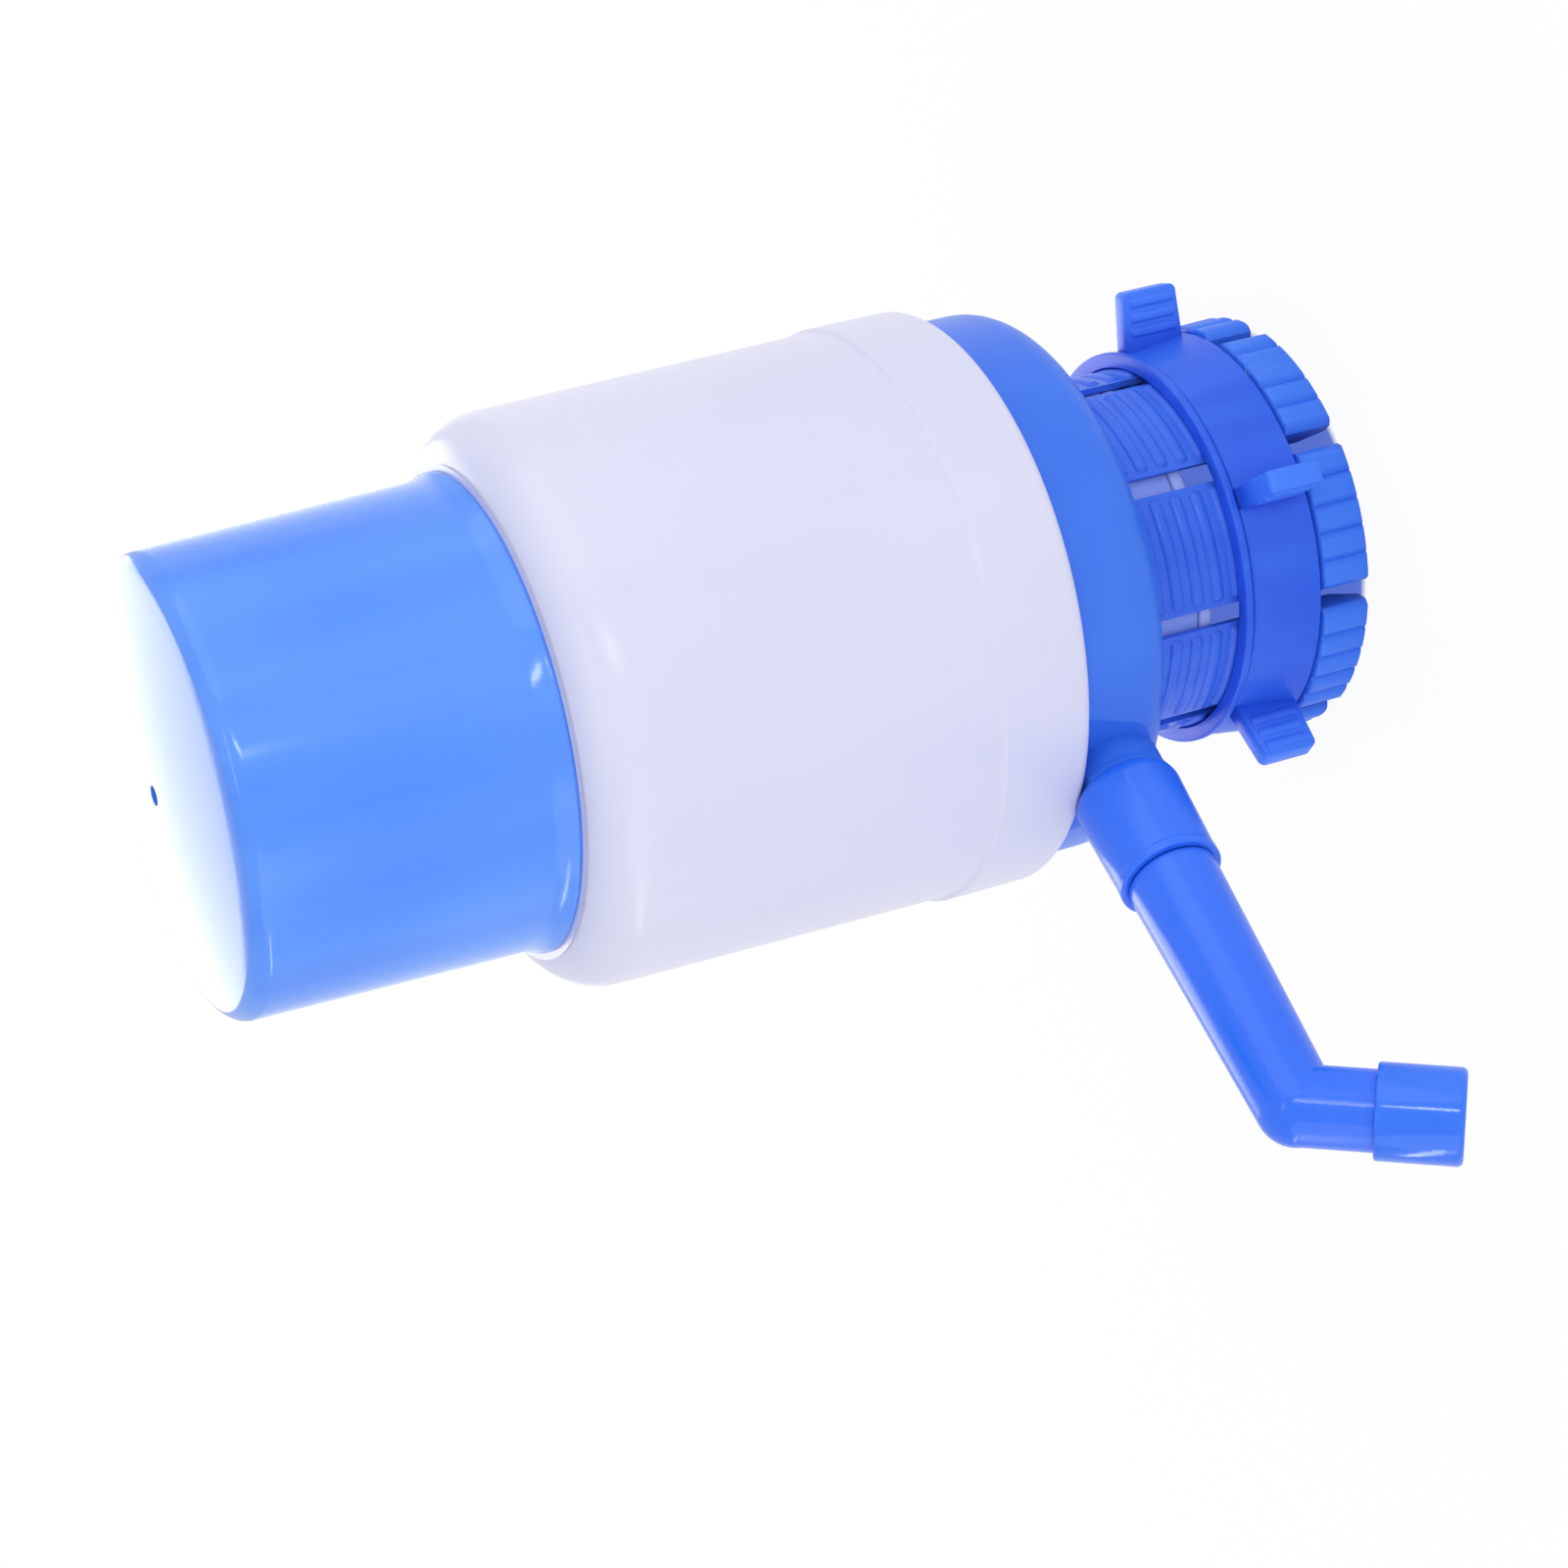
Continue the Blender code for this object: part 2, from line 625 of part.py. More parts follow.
# Blue base: rounded underside, spigot into the housing, and the outlet stub
def base_cover():
    dome_height = base_bottom + BASE_DOME
    dome_radius = BASE_RADIUS - BASE_DOME
    dome = (dome_radius, dome_height)
    profile = [(BASE_RADIUS, spigot_top)] + arc(BASE_DOME, dome, 0, -math.pi / 2, DOME_STEPS)
    profile += [(base_hole, base_bottom), (base_hole, base_floor),
                (fence_radius, base_floor), (fence_radius, base_floor + FENCE_HEIGHT),
                (fence_radius + FENCE_WALL, base_floor + FENCE_HEIGHT),
                (fence_radius + FENCE_WALL, base_bottom + BASE_WALL)]
    profile += arc(BASE_DOME - BASE_WALL, dome, -math.pi / 2, 0, DOME_STEPS)
    profile += [(base_inner, ledge_top - LEDGE_HEIGHT - LEDGE_SLOPE),
                (base_inner - LEDGE_WIDTH, ledge_top - LEDGE_HEIGHT),
                (base_inner - LEDGE_WIDTH, ledge_top),
                (base_inner, ledge_top), (base_inner, spigot_top)]
    base = turned("base_cover", profile, pump_axis, finish=(base_blue, 0.3))
    face = boxes("outlet_face", outlet_axis, (FACE_AT, -FACE_HALF_WIDTH, -FACE_LOW),
                 (BASE_RADIUS + OVERRUN, FACE_HALF_WIDTH, FACE_HIGH), [0.0])
    stub = outlet_stub()
    bore = pins("outlet_bore", outlet_axis, STUB_BORE_RADIUS, STUB_ROOT_AT - STUB_RADIUS,
                STUB_SPIGOT_END + OVERRUN, [(0, 0)], rotation=along_x)
    boolean(base, "DIFFERENCE", face)
    boolean(base, "UNION", stub)
    boolean(base, "DIFFERENCE", bore)
    return base


# Neck plate: closes the neck, with the dip tube's nipple and the elbow's sealed socket
def neck_plate():
    cup_radius = collar_bore - SEAT_GAP
    floor_top = plate_bottom + PLATE_THICKNESS
    nipple_end = plate_bottom - NIPPLE_LENGTH
    barb = NIPPLE_RADIUS + NIPPLE_BARB
    elbow_bore = ELBOW_TUBE_RADIUS + SEAT_GAP
    socket_floor = floor_top + SOCKET_FLOOR
    socket_top = floor_top + SOCKET_HEIGHT
    profile = [(COLLAR_FLANGE_RADIUS, plate_top), (COLLAR_FLANGE_RADIUS, plate_seat),
               (cup_radius, plate_seat), (cup_radius, plate_bottom),
               (NIPPLE_RADIUS, plate_bottom),
               (NIPPLE_RADIUS, nipple_end + NIPPLE_BARB_LENGTH),
               (barb, nipple_end + NIPPLE_BARB_LENGTH),
               (NIPPLE_RADIUS, nipple_end),
               (NIPPLE_BORE_RADIUS, nipple_end),
               (NIPPLE_BORE_RADIUS, socket_floor), (elbow_bore, socket_floor),
               (elbow_bore, socket_top), (SOCKET_RADIUS, socket_top),
               (SOCKET_RADIUS, floor_top),
               (cup_radius - PLATE_CUP_WALL, floor_top),
               (cup_radius - PLATE_CUP_WALL, plate_top)]
    plate = turned("neck_plate", profile, pump_axis, steps=INNER_STEPS,
                   finish=(natural_white, 0.45))
    holes = pins("neck_air_holes", pump_axis, AIR_HOLE_RADIUS, plate_bottom - OVERRUN,
                 floor_top + OVERRUN, circle_places(AIR_HOLE_COUNT, AIR_HOLE_CIRCLE),
                 steps=VALVE_STEPS)
    # The elbow passes through a notch in the flange.
    notch = boxes("elbow_notch", pump_axis,
                  (cup_radius - PLATE_CUP_WALL - OVERRUN, -elbow_bore, plate_seat - PLATE_NOTCH_DEPTH),
                  (COLLAR_FLANGE_RADIUS + OVERRUN, elbow_bore, plate_top + OVERRUN), [0.0])
    boolean(plate, "DIFFERENCE", holes)
    boolean(plate, "DIFFERENCE", notch)
    lip = GASKET_INNER_RADIUS + GASKET_LIP
    gasket = [(cup_radius, gasket_top, GASKET_FILLET), (cup_radius, gasket_bottom, GASKET_FILLET),
              (lip, gasket_bottom, 0), (lip - GASKET_GROOVE, gasket_bottom + GASKET_GROOVE, 0),
              (GASKET_INNER_RADIUS, gasket_bottom, 0), (GASKET_INNER_RADIUS, gasket_top, 0)]
    turned("neck_gasket", rounded(gasket, steps=1), pump_axis, steps=INNER_STEPS,
           finish=(silicone_white, 0.5))
    seal = [(ELBOW_TUBE_RADIUS, socket_floor + SEAT_GAP + SEAL_HEIGHT),
            (ELBOW_TUBE_RADIUS, socket_floor + SEAT_GAP),
            (NIPPLE_BORE_RADIUS, socket_floor + SEAT_GAP),
            (NIPPLE_BORE_RADIUS, socket_floor + SEAT_GAP + SEAL_HEIGHT)]
    turned("elbow_seal", seal, pump_axis, steps=SMALL_STEPS, finish=(silicone_white, 0.5))
    return socket_floor + SEAT_GAP + SEAL_HEIGHT


# Water elbow: from the neck plate's socket up and out to the outlet stub
def water_elbow(seal_top):
    lift = Matrix.Rotation(-OUTLET_RISE, 2)
    out = lift.transposed() @ Vector((1, 0))
    corner = Vector((0, outlet_height))
    first = (0, seal_top + SEAT_GAP)
    last = corner + out * ELBOW_TUBE_END
    points = bent_path(first, corner, last, WATER_BEND_ROUND, WATER_BEND_STEPS)
    ones = [1.0] * len(points)
    elbow = tube("water_elbow", points, ELBOW_TUBE_RADIUS, ones, pump_axis, 4,
                 finish=(natural_white, 0.45))
    bore_first = (0, first[1] - OVERRUN)
    bore_points = bent_path(bore_first, corner, last + out * OVERRUN, WATER_BEND_ROUND,
                            WATER_BEND_STEPS)
    bore = tube("elbow_bore", bore_points, ELBOW_TUBE_BORE, ones, pump_axis, 4)
    boolean(elbow, "DIFFERENCE", bore)
    return elbow


# One-way umbrella valve: a soft disc on a stem, with a bulb that holds it in its seat
def umbrella_valve(name, seat_face, seat_depth, offset, colour):
    disc_top = seat_face - SEAT_GAP
    stem = VALVE_HOLE_RADIUS - SEAT_GAP
    bulb_foot = seat_face + seat_depth + SEAT_GAP
    bulb_top = bulb_foot + VALVE_BULB_HEIGHT
    points = [(0, bulb_top), (VALVE_BULB_RADIUS / 2, bulb_top), (VALVE_BULB_RADIUS, bulb_foot),
              (stem, bulb_foot), (stem, disc_top),
              (VALVE_DISC_RADIUS, disc_top), (VALVE_DISC_RADIUS, disc_top - VALVE_DISC_EDGE),
              (0, disc_top - VALVE_DISC_CROWN)]
    return turned(name, points, pump_axis, closed=False, steps=VALVE_STEPS,
                  location=(-offset, 0, 0), finish=(colour, 0.6))


# Valve deck: the bellows' floor, clamped on the base's ledge
def valve_deck():
    profile = [(deck_radius, deck_top), (deck_radius, deck_bottom), (0, deck_bottom)]
    ring_top_level = foot_bottom + DECK_RING_HEIGHT
    upper = [(0, deck_top), (DECK_RING_INNER, deck_top), (DECK_RING_INNER, ring_top_level),
             (DECK_RING_OUTER, ring_top_level), (DECK_RING_OUTER, deck_top)]
    deck = turned("valve_deck", upper + profile, pump_axis, closed=False,
                  steps=INNER_STEPS, finish=(natural_white, 0.45))
    centre = (-VALVE_OFFSET, 0)
    ports = circle_places(VALVE_PORT_COUNT, VALVE_PORT_CIRCLE, centre=centre)
    port_pins = pins("deck_ports", pump_axis, VALVE_PORT_RADIUS, deck_bottom - OVERRUN,
                     deck_top + OVERRUN, ports, steps=PORT_STEPS)
    stem_pin = pins("deck_stem_hole", pump_axis, VALVE_HOLE_RADIUS, deck_bottom - OVERRUN,
                    deck_top + OVERRUN, [centre], steps=VALVE_STEPS)
    boolean(deck, "DIFFERENCE", port_pins)
    boolean(deck, "DIFFERENCE", stem_pin)
    umbrella_valve("air_valve", deck_bottom, DECK_THICKNESS, VALVE_OFFSET, rubber_dark)
    clamp = [(deck_radius, clamp_top), (deck_radius, clamp_bottom),
             (CLAMP_INNER_RADIUS, clamp_bottom), (CLAMP_INNER_RADIUS, clamp_top)]
    turned("bellows_clamp_ring", clamp, pump_axis, steps=INNER_STEPS,
           finish=(natural_white, 0.45))


# Bellows: convolutions between a foot on the deck and a mouth in the cap's boss
def bellows():
    outer = [(BELLOWS_MOUTH_RADIUS, mouth_top), (BELLOWS_MOUTH_RADIUS, mouth_bottom)]
    top = mouth_bottom - BELLOWS_SHOULDER_DROP
    bottom = foot_bottom + BELLOWS_THROAT_HEIGHT
    pitch = (top - bottom) / (BELLOWS_COUNT - 0.5)
    for fold in range(BELLOWS_COUNT):
        crest = top - fold * pitch
        outer.append((BELLOWS_CREST_RADIUS, crest))
        if fold < BELLOWS_COUNT - 1:
            outer.append((BELLOWS_ROOT_RADIUS, crest - pitch / 2))
    outer += [(BELLOWS_THROAT_RADIUS, bottom), (BELLOWS_THROAT_RADIUS, foot_top),
              (BELLOWS_FOOT_RADIUS, foot_top), (BELLOWS_FOOT_RADIUS, foot_bottom)]
    throat_bore = DECK_RING_OUTER + SEAT_GAP
    inner = [(throat_bore, foot_bottom), (throat_bore, bottom)]
    for fold in reversed(range(BELLOWS_COUNT)):
        crest = top - fold * pitch
        if fold < BELLOWS_COUNT - 1:
            inner.append((BELLOWS_ROOT_RADIUS - BELLOWS_WALL, crest - pitch / 2))
        inner.append((BELLOWS_CREST_RADIUS - BELLOWS_WALL, crest))
    inner += [(mouth_bore, mouth_bottom - BELLOWS_WALL), (mouth_bore, mouth_top)]
    return turned("bellows", outer + inner, pump_axis, steps=INNER_STEPS,
                  finish=(natural_white, 0.55))


# Intake valve in the bellows' mouth: a cup with ports and a soft umbrella valve under it
def intake_valve():
    top = mouth_top - SEAT_DROP
    bottom = top - SEAT_HEIGHT
    floor = bottom + SEAT_FLOOR
    wall = seat_radius - SEAT_WALL
    points = [(0, floor), (wall, floor), (wall, top), (seat_radius, top), (seat_radius, bottom),
              (0, bottom)]
    seat = turned("intake_valve_seat", points, pump_axis, closed=False, steps=SMALL_STEPS,
                  finish=(natural_white, 0.45))
    ports = circle_places(VALVE_PORT_COUNT, VALVE_PORT_CIRCLE)
    port_pins = pins("seat_ports", pump_axis, VALVE_PORT_RADIUS, bottom - OVERRUN,
                     floor + OVERRUN, ports, steps=PORT_STEPS)
    stem_pin = pins("seat_stem_hole", pump_axis, VALVE_HOLE_RADIUS, bottom - OVERRUN,
                    floor + OVERRUN, [(0, 0)], steps=VALVE_STEPS)
    boolean(seat, "DIFFERENCE", port_pins)
    boolean(seat, "DIFFERENCE", stem_pin)
    umbrella_valve("intake_valve", bottom, SEAT_FLOOR, 0, rubber_dark)


# White housing: rounded shoulder, step line, and the inner rib that holds the base
def housing_shell():
    step_top = housing_bottom + HOUSING_BAND_HEIGHT
    inner_band = BASE_RADIUS + SEAT_GAP
    inner_step = HOUSING_RADIUS_STEP - HOUSING_WALL
    rib_radius = inner_band - RIB_REACH
    rib_top = rib_bottom + HOUSING_RIB_HEIGHT
    lip_angle = math.acos((cap_guide - shoulder_radius) / shoulder_inner)
    shoulder = arc(shoulder_inner, (shoulder_radius, shoulder_height), 0, lip_angle,
                   SHOULDER_STEPS)
    profile = [(*shoulder[-1], 0),
               (cap_guide, housing_top, HOUSING_LIP_FILLET),
               (HOUSING_RADIUS_TOP, housing_top, HOUSING_SHOULDER),
               (HOUSING_RADIUS_STEP, step_top, 0),
               (HOUSING_RADIUS_BAND, step_top - HOUSING_STEP_SLOPE, 0),
               (HOUSING_RADIUS_BAND, housing_bottom, HOUSING_FOOT_FILLET),
               (inner_band, housing_bottom, 0),
               (inner_band, rib_bottom, 0),
               (rib_radius, rib_bottom, 0),
               (rib_radius, rib_top, 0),
               (inner_step, rib_top + HOUSING_RIB_SLOPE, 0)]
    points = rounded(profile, closed=False, steps=SHOULDER_STEPS) + shoulder[:-1]
    return turned("housing_shell", points, pump_axis, finish=(housing_white, 0.35))


# Press cap: drafted skirt, crowned top with a vent, retaining lip and bellows boss
def press_cap():
    boss_radius = boss_bore + CAP_BOSS_WALL
    boss_bottom = mouth_bottom + SEAT_GAP
    profile = [(0, cap_top, 0),
               (CAP_RADIUS_TOP, cap_top - CAP_CROWN, CAP_RIM_FILLET),
               (CAP_RADIUS_BOTTOM, housing_top, 0),
               (CAP_RADIUS_BOTTOM, lip_top, 0),
               (CAP_LIP_RADIUS, lip_edge, 0),
               (CAP_LIP_RADIUS, lip_bottom, 0),
               (CAP_RADIUS_BOTTOM - CAP_WALL, lip_bottom, 0),
               (CAP_RADIUS_BOTTOM - CAP_WALL, housing_top, 0),
               (CAP_RADIUS_TOP - CAP_WALL, cap_underside, CAP_RIM_FILLET - CAP_WALL),
               (boss_radius, cap_underside, 0),
               (boss_radius, boss_bottom, 0),
               (boss_bore, boss_bottom, 0),
               (boss_bore, cap_underside, 0),
               (0, cap_underside, 0)]
    cap = turned("press_cap", rounded(profile, closed=False), pump_axis, closed=False,
                 finish=(cap_blue, 0.2))
    vent = pins("vent", pump_axis, VENT_RADIUS, cap_underside - OVERRUN, cap_top + OVERRUN,
                [(0, 0)], steps=VALVE_STEPS)
    boolean(cap, "DIFFERENCE", vent)
    return cap


# Outlet sleeve over the stub, with the spout tube's end and its O-ring inside
def outlet_sleeve():
    stub_bore = STUB_SPIGOT_RADIUS + SEAT_GAP
    step = STUB_SPIGOT_END + SEAT_GAP
    profile = [(SLEEVE_RIM_RADIUS, sleeve_end, SLEEVE_RIM_FILLET),
               (SLEEVE_FLARE_RADIUS, sleeve_start + SLEEVE_FLARE_LENGTH, 0),
               (SLEEVE_ROOT_RADIUS, sleeve_start, 0),
               (stub_bore, sleeve_start, 0), (stub_bore, step, 0),
               (sleeve_bore, tube_start - SEAT_GAP, 0), (sleeve_bore, sleeve_end, 0)]
    turned("outlet_sleeve", rounded(profile, steps=2), outlet_axis, steps=SMALL_STEPS,
           rotation=along_x, finish=(base_blue, 0.25))
    ring_radius = TUBE_RADIUS - GROOVE_DEPTH + SEAT_GAP + O_RING_SECTION
    middle = groove_start + GROOVE_WIDTH / 2
    section = [(ring_radius + O_RING_SECTION * math.cos(k * 2 * math.pi / O_RING_SIDES),
                middle - O_RING_SECTION * math.sin(k * 2 * math.pi / O_RING_SIDES))
               for k in range(O_RING_SIDES)]
    turned("spout_o_ring", section, outlet_axis, steps=SMALL_STEPS, rotation=along_x,
           finish=(rubber_dark, 0.6))


def spout_tube():
    core = TUBE_RADIUS - GROOVE_DEPTH
    groove_end = groove_start + GROOVE_WIDTH
    profile = arc(ELBOW_RADIUS, (0, ELBOW_REACH), math.pi / 2, 0, ELBOW_STEPS)
    profile += [(TUBE_SHOULDER_RADIUS, tube_shoulder), (TUBE_RADIUS, tube_shoulder),
                (TUBE_RADIUS, groove_end), (core, groove_end), (core, groove_start),
                (TUBE_RADIUS, groove_start), (TUBE_RADIUS, tube_start), (0, tube_start)]
    tube_body = turned("spout_tube", profile, spout_axis, closed=False, steps=SMALL_STEPS,
                       rotation=along_x, finish=(base_blue, 0.2))
    nozzle = pins("nozzle", nozzle_axis, NOZZLE_RADIUS, 0, NOZZLE_LENGTH, [(0, 0)],
                  rotation=along_x)
    bore_profile = arc(TUBE_BORE_RADIUS, (0, ELBOW_REACH), math.pi / 2, 0, ELBOW_STEPS)
    bore_profile += [(TUBE_BORE_RADIUS, tube_start - OVERRUN), (0, tube_start - OVERRUN)]
    bore = turned("spout_bore", bore_profile, spout_axis, closed=False, steps=SMALL_STEPS,
                  rotation=along_x)
    nozzle_bore = pins("nozzle_bore", nozzle_axis, NOZZLE_BORE_RADIUS, 0,
                       NOZZLE_LENGTH + OVERRUN, [(0, 0)], rotation=along_x)
    boolean(tube_body, "UNION", nozzle)
    boolean(tube_body, "DIFFERENCE", bore)
    boolean(tube_body, "DIFFERENCE", nozzle_bore)
    return tube_body


def dust_cap():
    inner_end = dust_cap_tip - DUST_CAP_END
    profile = [(0, dust_cap_tip, 0),
               (DUST_CAP_RADIUS, dust_cap_tip, DUST_CAP_FILLET),
               (DUST_CAP_RADIUS, dust_cap_start, DUST_CAP_FILLET / 2),
               (cap_bore, dust_cap_start, 0),
               (cap_bore, inner_end, 0),
               (0, inner_end, 0)]
    return turned("dust_cap", rounded(profile, closed=False), nozzle_axis, closed=False,
                  steps=SMALL_STEPS, rotation=along_x, finish=(base_blue, 0.2))


neck_collar()
lock_ring()
base_cover()
water_elbow(neck_plate())
valve_deck()
bellows()
intake_valve()
housing_shell()
press_cap()
outlet_sleeve()
spout_tube()
dust_cap()
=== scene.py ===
import math
import bpy
from mathutils import Matrix, Vector


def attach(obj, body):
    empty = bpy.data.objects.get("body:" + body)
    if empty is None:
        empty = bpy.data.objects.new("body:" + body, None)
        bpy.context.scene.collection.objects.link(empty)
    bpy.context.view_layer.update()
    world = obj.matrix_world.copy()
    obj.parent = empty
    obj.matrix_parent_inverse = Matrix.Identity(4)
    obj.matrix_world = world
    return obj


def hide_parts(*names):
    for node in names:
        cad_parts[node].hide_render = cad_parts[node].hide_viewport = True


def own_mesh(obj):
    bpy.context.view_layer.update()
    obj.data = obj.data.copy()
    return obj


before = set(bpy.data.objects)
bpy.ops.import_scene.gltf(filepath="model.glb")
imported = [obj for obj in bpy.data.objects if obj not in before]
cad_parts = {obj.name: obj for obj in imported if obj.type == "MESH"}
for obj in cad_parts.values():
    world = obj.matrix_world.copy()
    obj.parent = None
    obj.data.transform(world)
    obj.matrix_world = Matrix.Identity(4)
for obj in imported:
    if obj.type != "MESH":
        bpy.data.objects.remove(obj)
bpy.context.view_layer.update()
print("frame loaded,", len(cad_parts), "nodes")

mm = 0.001
nearly = 1e-6  # vertices closer than this are merged
onSpot = 2e-5  # a vertex this near to a ring belongs to it
pumpX = -0.0401728  # the pump's own axis stands to one side of the origin


# small helpers for edit mode
def startOn(piece):
    if bpy.context.object and bpy.context.object.mode != "OBJECT":
        bpy.ops.object.mode_set(mode="OBJECT")
    bpy.ops.object.select_all(action="DESELECT")
    if piece:
        piece.select_set(True)
        bpy.context.view_layer.objects.active = piece


def bakePlace(piece):
    startOn(piece)
    bpy.ops.object.transform_apply(location=True, rotation=True, scale=True)


def pickEdges(piece, rule):
    # edges whose two ends both pass the rule, left selected in edit mode
    bpy.ops.object.mode_set(mode="OBJECT")
    for face in piece.data.polygons:
        face.select = False
    for vertex in piece.data.vertices:
        vertex.select = False
    for edge in piece.data.edges:
        a, b = (piece.data.vertices[k].co for k in edge.vertices)
        edge.select = rule(a, b)
    bpy.ops.object.mode_set(mode="EDIT")
    bpy.ops.mesh.select_mode(type="EDGE")


def onRing(radius, height):
    def rule(a, b):
        return all(abs(math.hypot(p.x, p.y) - radius) < onSpot and abs(p.z - height) < onSpot
                   for p in (a, b))
    return rule


def turnedShape(name, rings, sides=96, segments=4):
    # a circle extruded and resized from ring to ring; a ring is radius, height and rounding in mm
    spots = [(r * mm, z * mm, soft * mm) for r, z, soft in rings]
    solidEnds = [spots[0][0] == 0, spots[-1][0] == 0]
    run = spots[1 if solidEnds[0] else 0: len(spots) - 1 if solidEnds[1] else len(spots)]
    startOn(None)
    bpy.ops.mesh.primitive_circle_add(vertices=sides, radius=run[0][0], location=(0, 0, run[0][1]))
    piece = bpy.context.object
    piece.name = name
    bakePlace(piece)
    bpy.ops.object.mode_set(mode="EDIT")
    bpy.ops.mesh.select_mode(type="EDGE")
    bpy.ops.mesh.select_all(action="SELECT")
    for (r0, z0, _), (r1, z1, _) in zip(run, run[1:]):
        bpy.ops.mesh.extrude_region_move(TRANSFORM_OT_translate={"value": (0, 0, z1 - z0)})
        bpy.ops.transform.resize(value=(r1 / r0, r1 / r0, 1), center_override=(0, 0, z1))
    if solidEnds[1]:
        bpy.ops.mesh.extrude_region_move(
            TRANSFORM_OT_translate={"value": (0, 0, spots[-1][1] - run[-1][1])})
        bpy.ops.mesh.merge(type="CENTER")
    if solidEnds[0]:
        pickEdges(piece, onRing(run[0][0], run[0][1]))
        bpy.ops.mesh.extrude_region_move(
            TRANSFORM_OT_translate={"value": (0, 0, spots[0][1] - run[0][1])})
        bpy.ops.mesh.merge(type="CENTER")
    if not any(solidEnds):
        first, last = onRing(*run[0][:2]), onRing(*run[-1][:2])
        pickEdges(piece, lambda a, b: first(a, b) or last(a, b))
        bpy.ops.mesh.bridge_edge_loops()
    for radius, height, soft in spots:
        if soft > 0:
            pickEdges(piece, onRing(radius, height))
            bpy.ops.mesh.bevel(offset=soft, segments=segments, profile=0.5, affect="EDGES")
    bpy.ops.mesh.select_all(action="SELECT")
    bpy.ops.mesh.remove_doubles(threshold=nearly)
    bpy.ops.mesh.normals_make_consistent(inside=False)
    bpy.ops.object.mode_set(mode="OBJECT")
    return piece


def blockShape(name, low, high, soft=0.0, segments=3):
    # a cube sized from corner to corner in mm, its edges bevelled
    startOn(None)
    middle = [(a + b) / 2 * mm for a, b in zip(low, high)]
    size = [(b - a) * mm for a, b in zip(low, high)]
    bpy.ops.mesh.primitive_cube_add(size=1, location=middle, scale=size)
    piece = bpy.context.object
    piece.name = name
    bakePlace(piece)
    if soft:
        bpy.ops.object.mode_set(mode="EDIT")
        bpy.ops.mesh.select_all(action="SELECT")
        bpy.ops.mesh.bevel(offset=soft * mm, segments=segments, profile=0.5, affect="EDGES")
        bpy.ops.object.mode_set(mode="OBJECT")
    return piece


def copiesAround(piece, angles, lifts=None):
    # one copy for each angle about the axis, all joined into one mesh
    twins = [copyTurned(piece, angle, lifts[k] if lifts else 0)
             for k, angle in enumerate(angles)]
    bpy.data.objects.remove(piece)
    return joined(twins)


def copyTurned(piece, angle, lift=0):
    startOn(piece)
    bpy.ops.object.duplicate()
    twin = bpy.context.object
    twin.rotation_euler.z = math.radians(angle)
    twin.location.z = lift * mm
    bakePlace(twin)
    return twin


def joined(parts):
    startOn(parts[0])
    for part in parts:
        part.select_set(True)
    bpy.ops.object.join()
    return bpy.context.object


def combined(piece, other, how):
    startOn(piece)
    bpy.ops.object.modifier_add(type="BOOLEAN")
    step = piece.modifiers[-1]
    step.operation = how
    step.solver = "EXACT"
    step.object = other
    bpy.ops.object.modifier_apply(modifier=step.name)
    bpy.data.objects.remove(other)
    return piece


def softened(piece, width):
    startOn(piece)
    bpy.ops.object.modifier_add(type="BEVEL")
    soften = piece.modifiers[-1]
    soften.width = width * mm
    soften.segments = 2
    soften.limit_method = "ANGLE"
    soften.angle_limit = math.radians(50)
    bpy.ops.object.modifier_apply(modifier=soften.name)


def standAt(piece, spot, tilt=0.0):
    piece.rotation_euler = (0, math.radians(tilt), 0)
    piece.location = spot
    bakePlace(piece)
    return piece


def onPump(piece):
    return standAt(piece, (pumpX, 0, 0))


def finished(piece, body, nodes, finish, angle=32):
    startOn(piece)
    bpy.ops.object.shade_smooth_by_angle(angle=math.radians(angle))
    piece.data.materials.clear()
    piece.data.materials.append(finish)
    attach(piece, body)
    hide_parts(*nodes)
    print(piece.name, "done,", len(piece.data.polygons), "faces")
    return piece


# finishes: moulded plastics, silicone and rubber
def withPaintedLight(nodes, links, where, colour, look):
    # painted light and shade: the colour is mixed towards a painted tone by the distance from the
    # pump's axis (paler flared finger ends and wing tips, painted blue light through the blue
    # walls on the white parts inside the collar), and by height on the cap's crown, a painted tone
    # for the reflection on its top face
    if "paintedLightOut" not in look and "crown" not in look:
        return colour
    paintedLightMask = nodes.new("ShaderNodeMapRange")
    if "paintedLightOut" in look:
        start, end, shade = look["paintedLightOut"]
        flat = nodes.new("ShaderNodeVectorMath")
        flat.operation = "MULTIPLY"
        flat.inputs[1].default_value = (1, 1, 0)
        links.new(where.outputs["Object"], flat.inputs[0])
        away = nodes.new("ShaderNodeVectorMath")
        away.operation = "DISTANCE"
        away.inputs[1].default_value = (pumpX, 0, 0)
        links.new(flat.outputs["Vector"], away.inputs[0])
        links.new(away.outputs["Value"], paintedLightMask.inputs["Value"])
    else:
        start, end, shade = look["crown"]
        level = nodes.new("ShaderNodeSeparateXYZ")
        links.new(where.outputs["Object"], level.inputs["Vector"])
        links.new(level.outputs["Z"], paintedLightMask.inputs["Value"])
    paintedLightMask.inputs["From Min"].default_value = start * mm
    paintedLightMask.inputs["From Max"].default_value = end * mm
    # mixes the painted light or shade into the colour
    paintedLightMix = nodes.new("ShaderNodeMix")
    paintedLightMix.data_type = "RGBA"
    paintedLightMix.inputs[7].default_value = (*shade, 1)
    links.new(paintedLightMask.outputs["Result"], paintedLightMix.inputs[0])
    links.new(colour, paintedLightMix.inputs[6])
    return paintedLightMix.outputs[2]


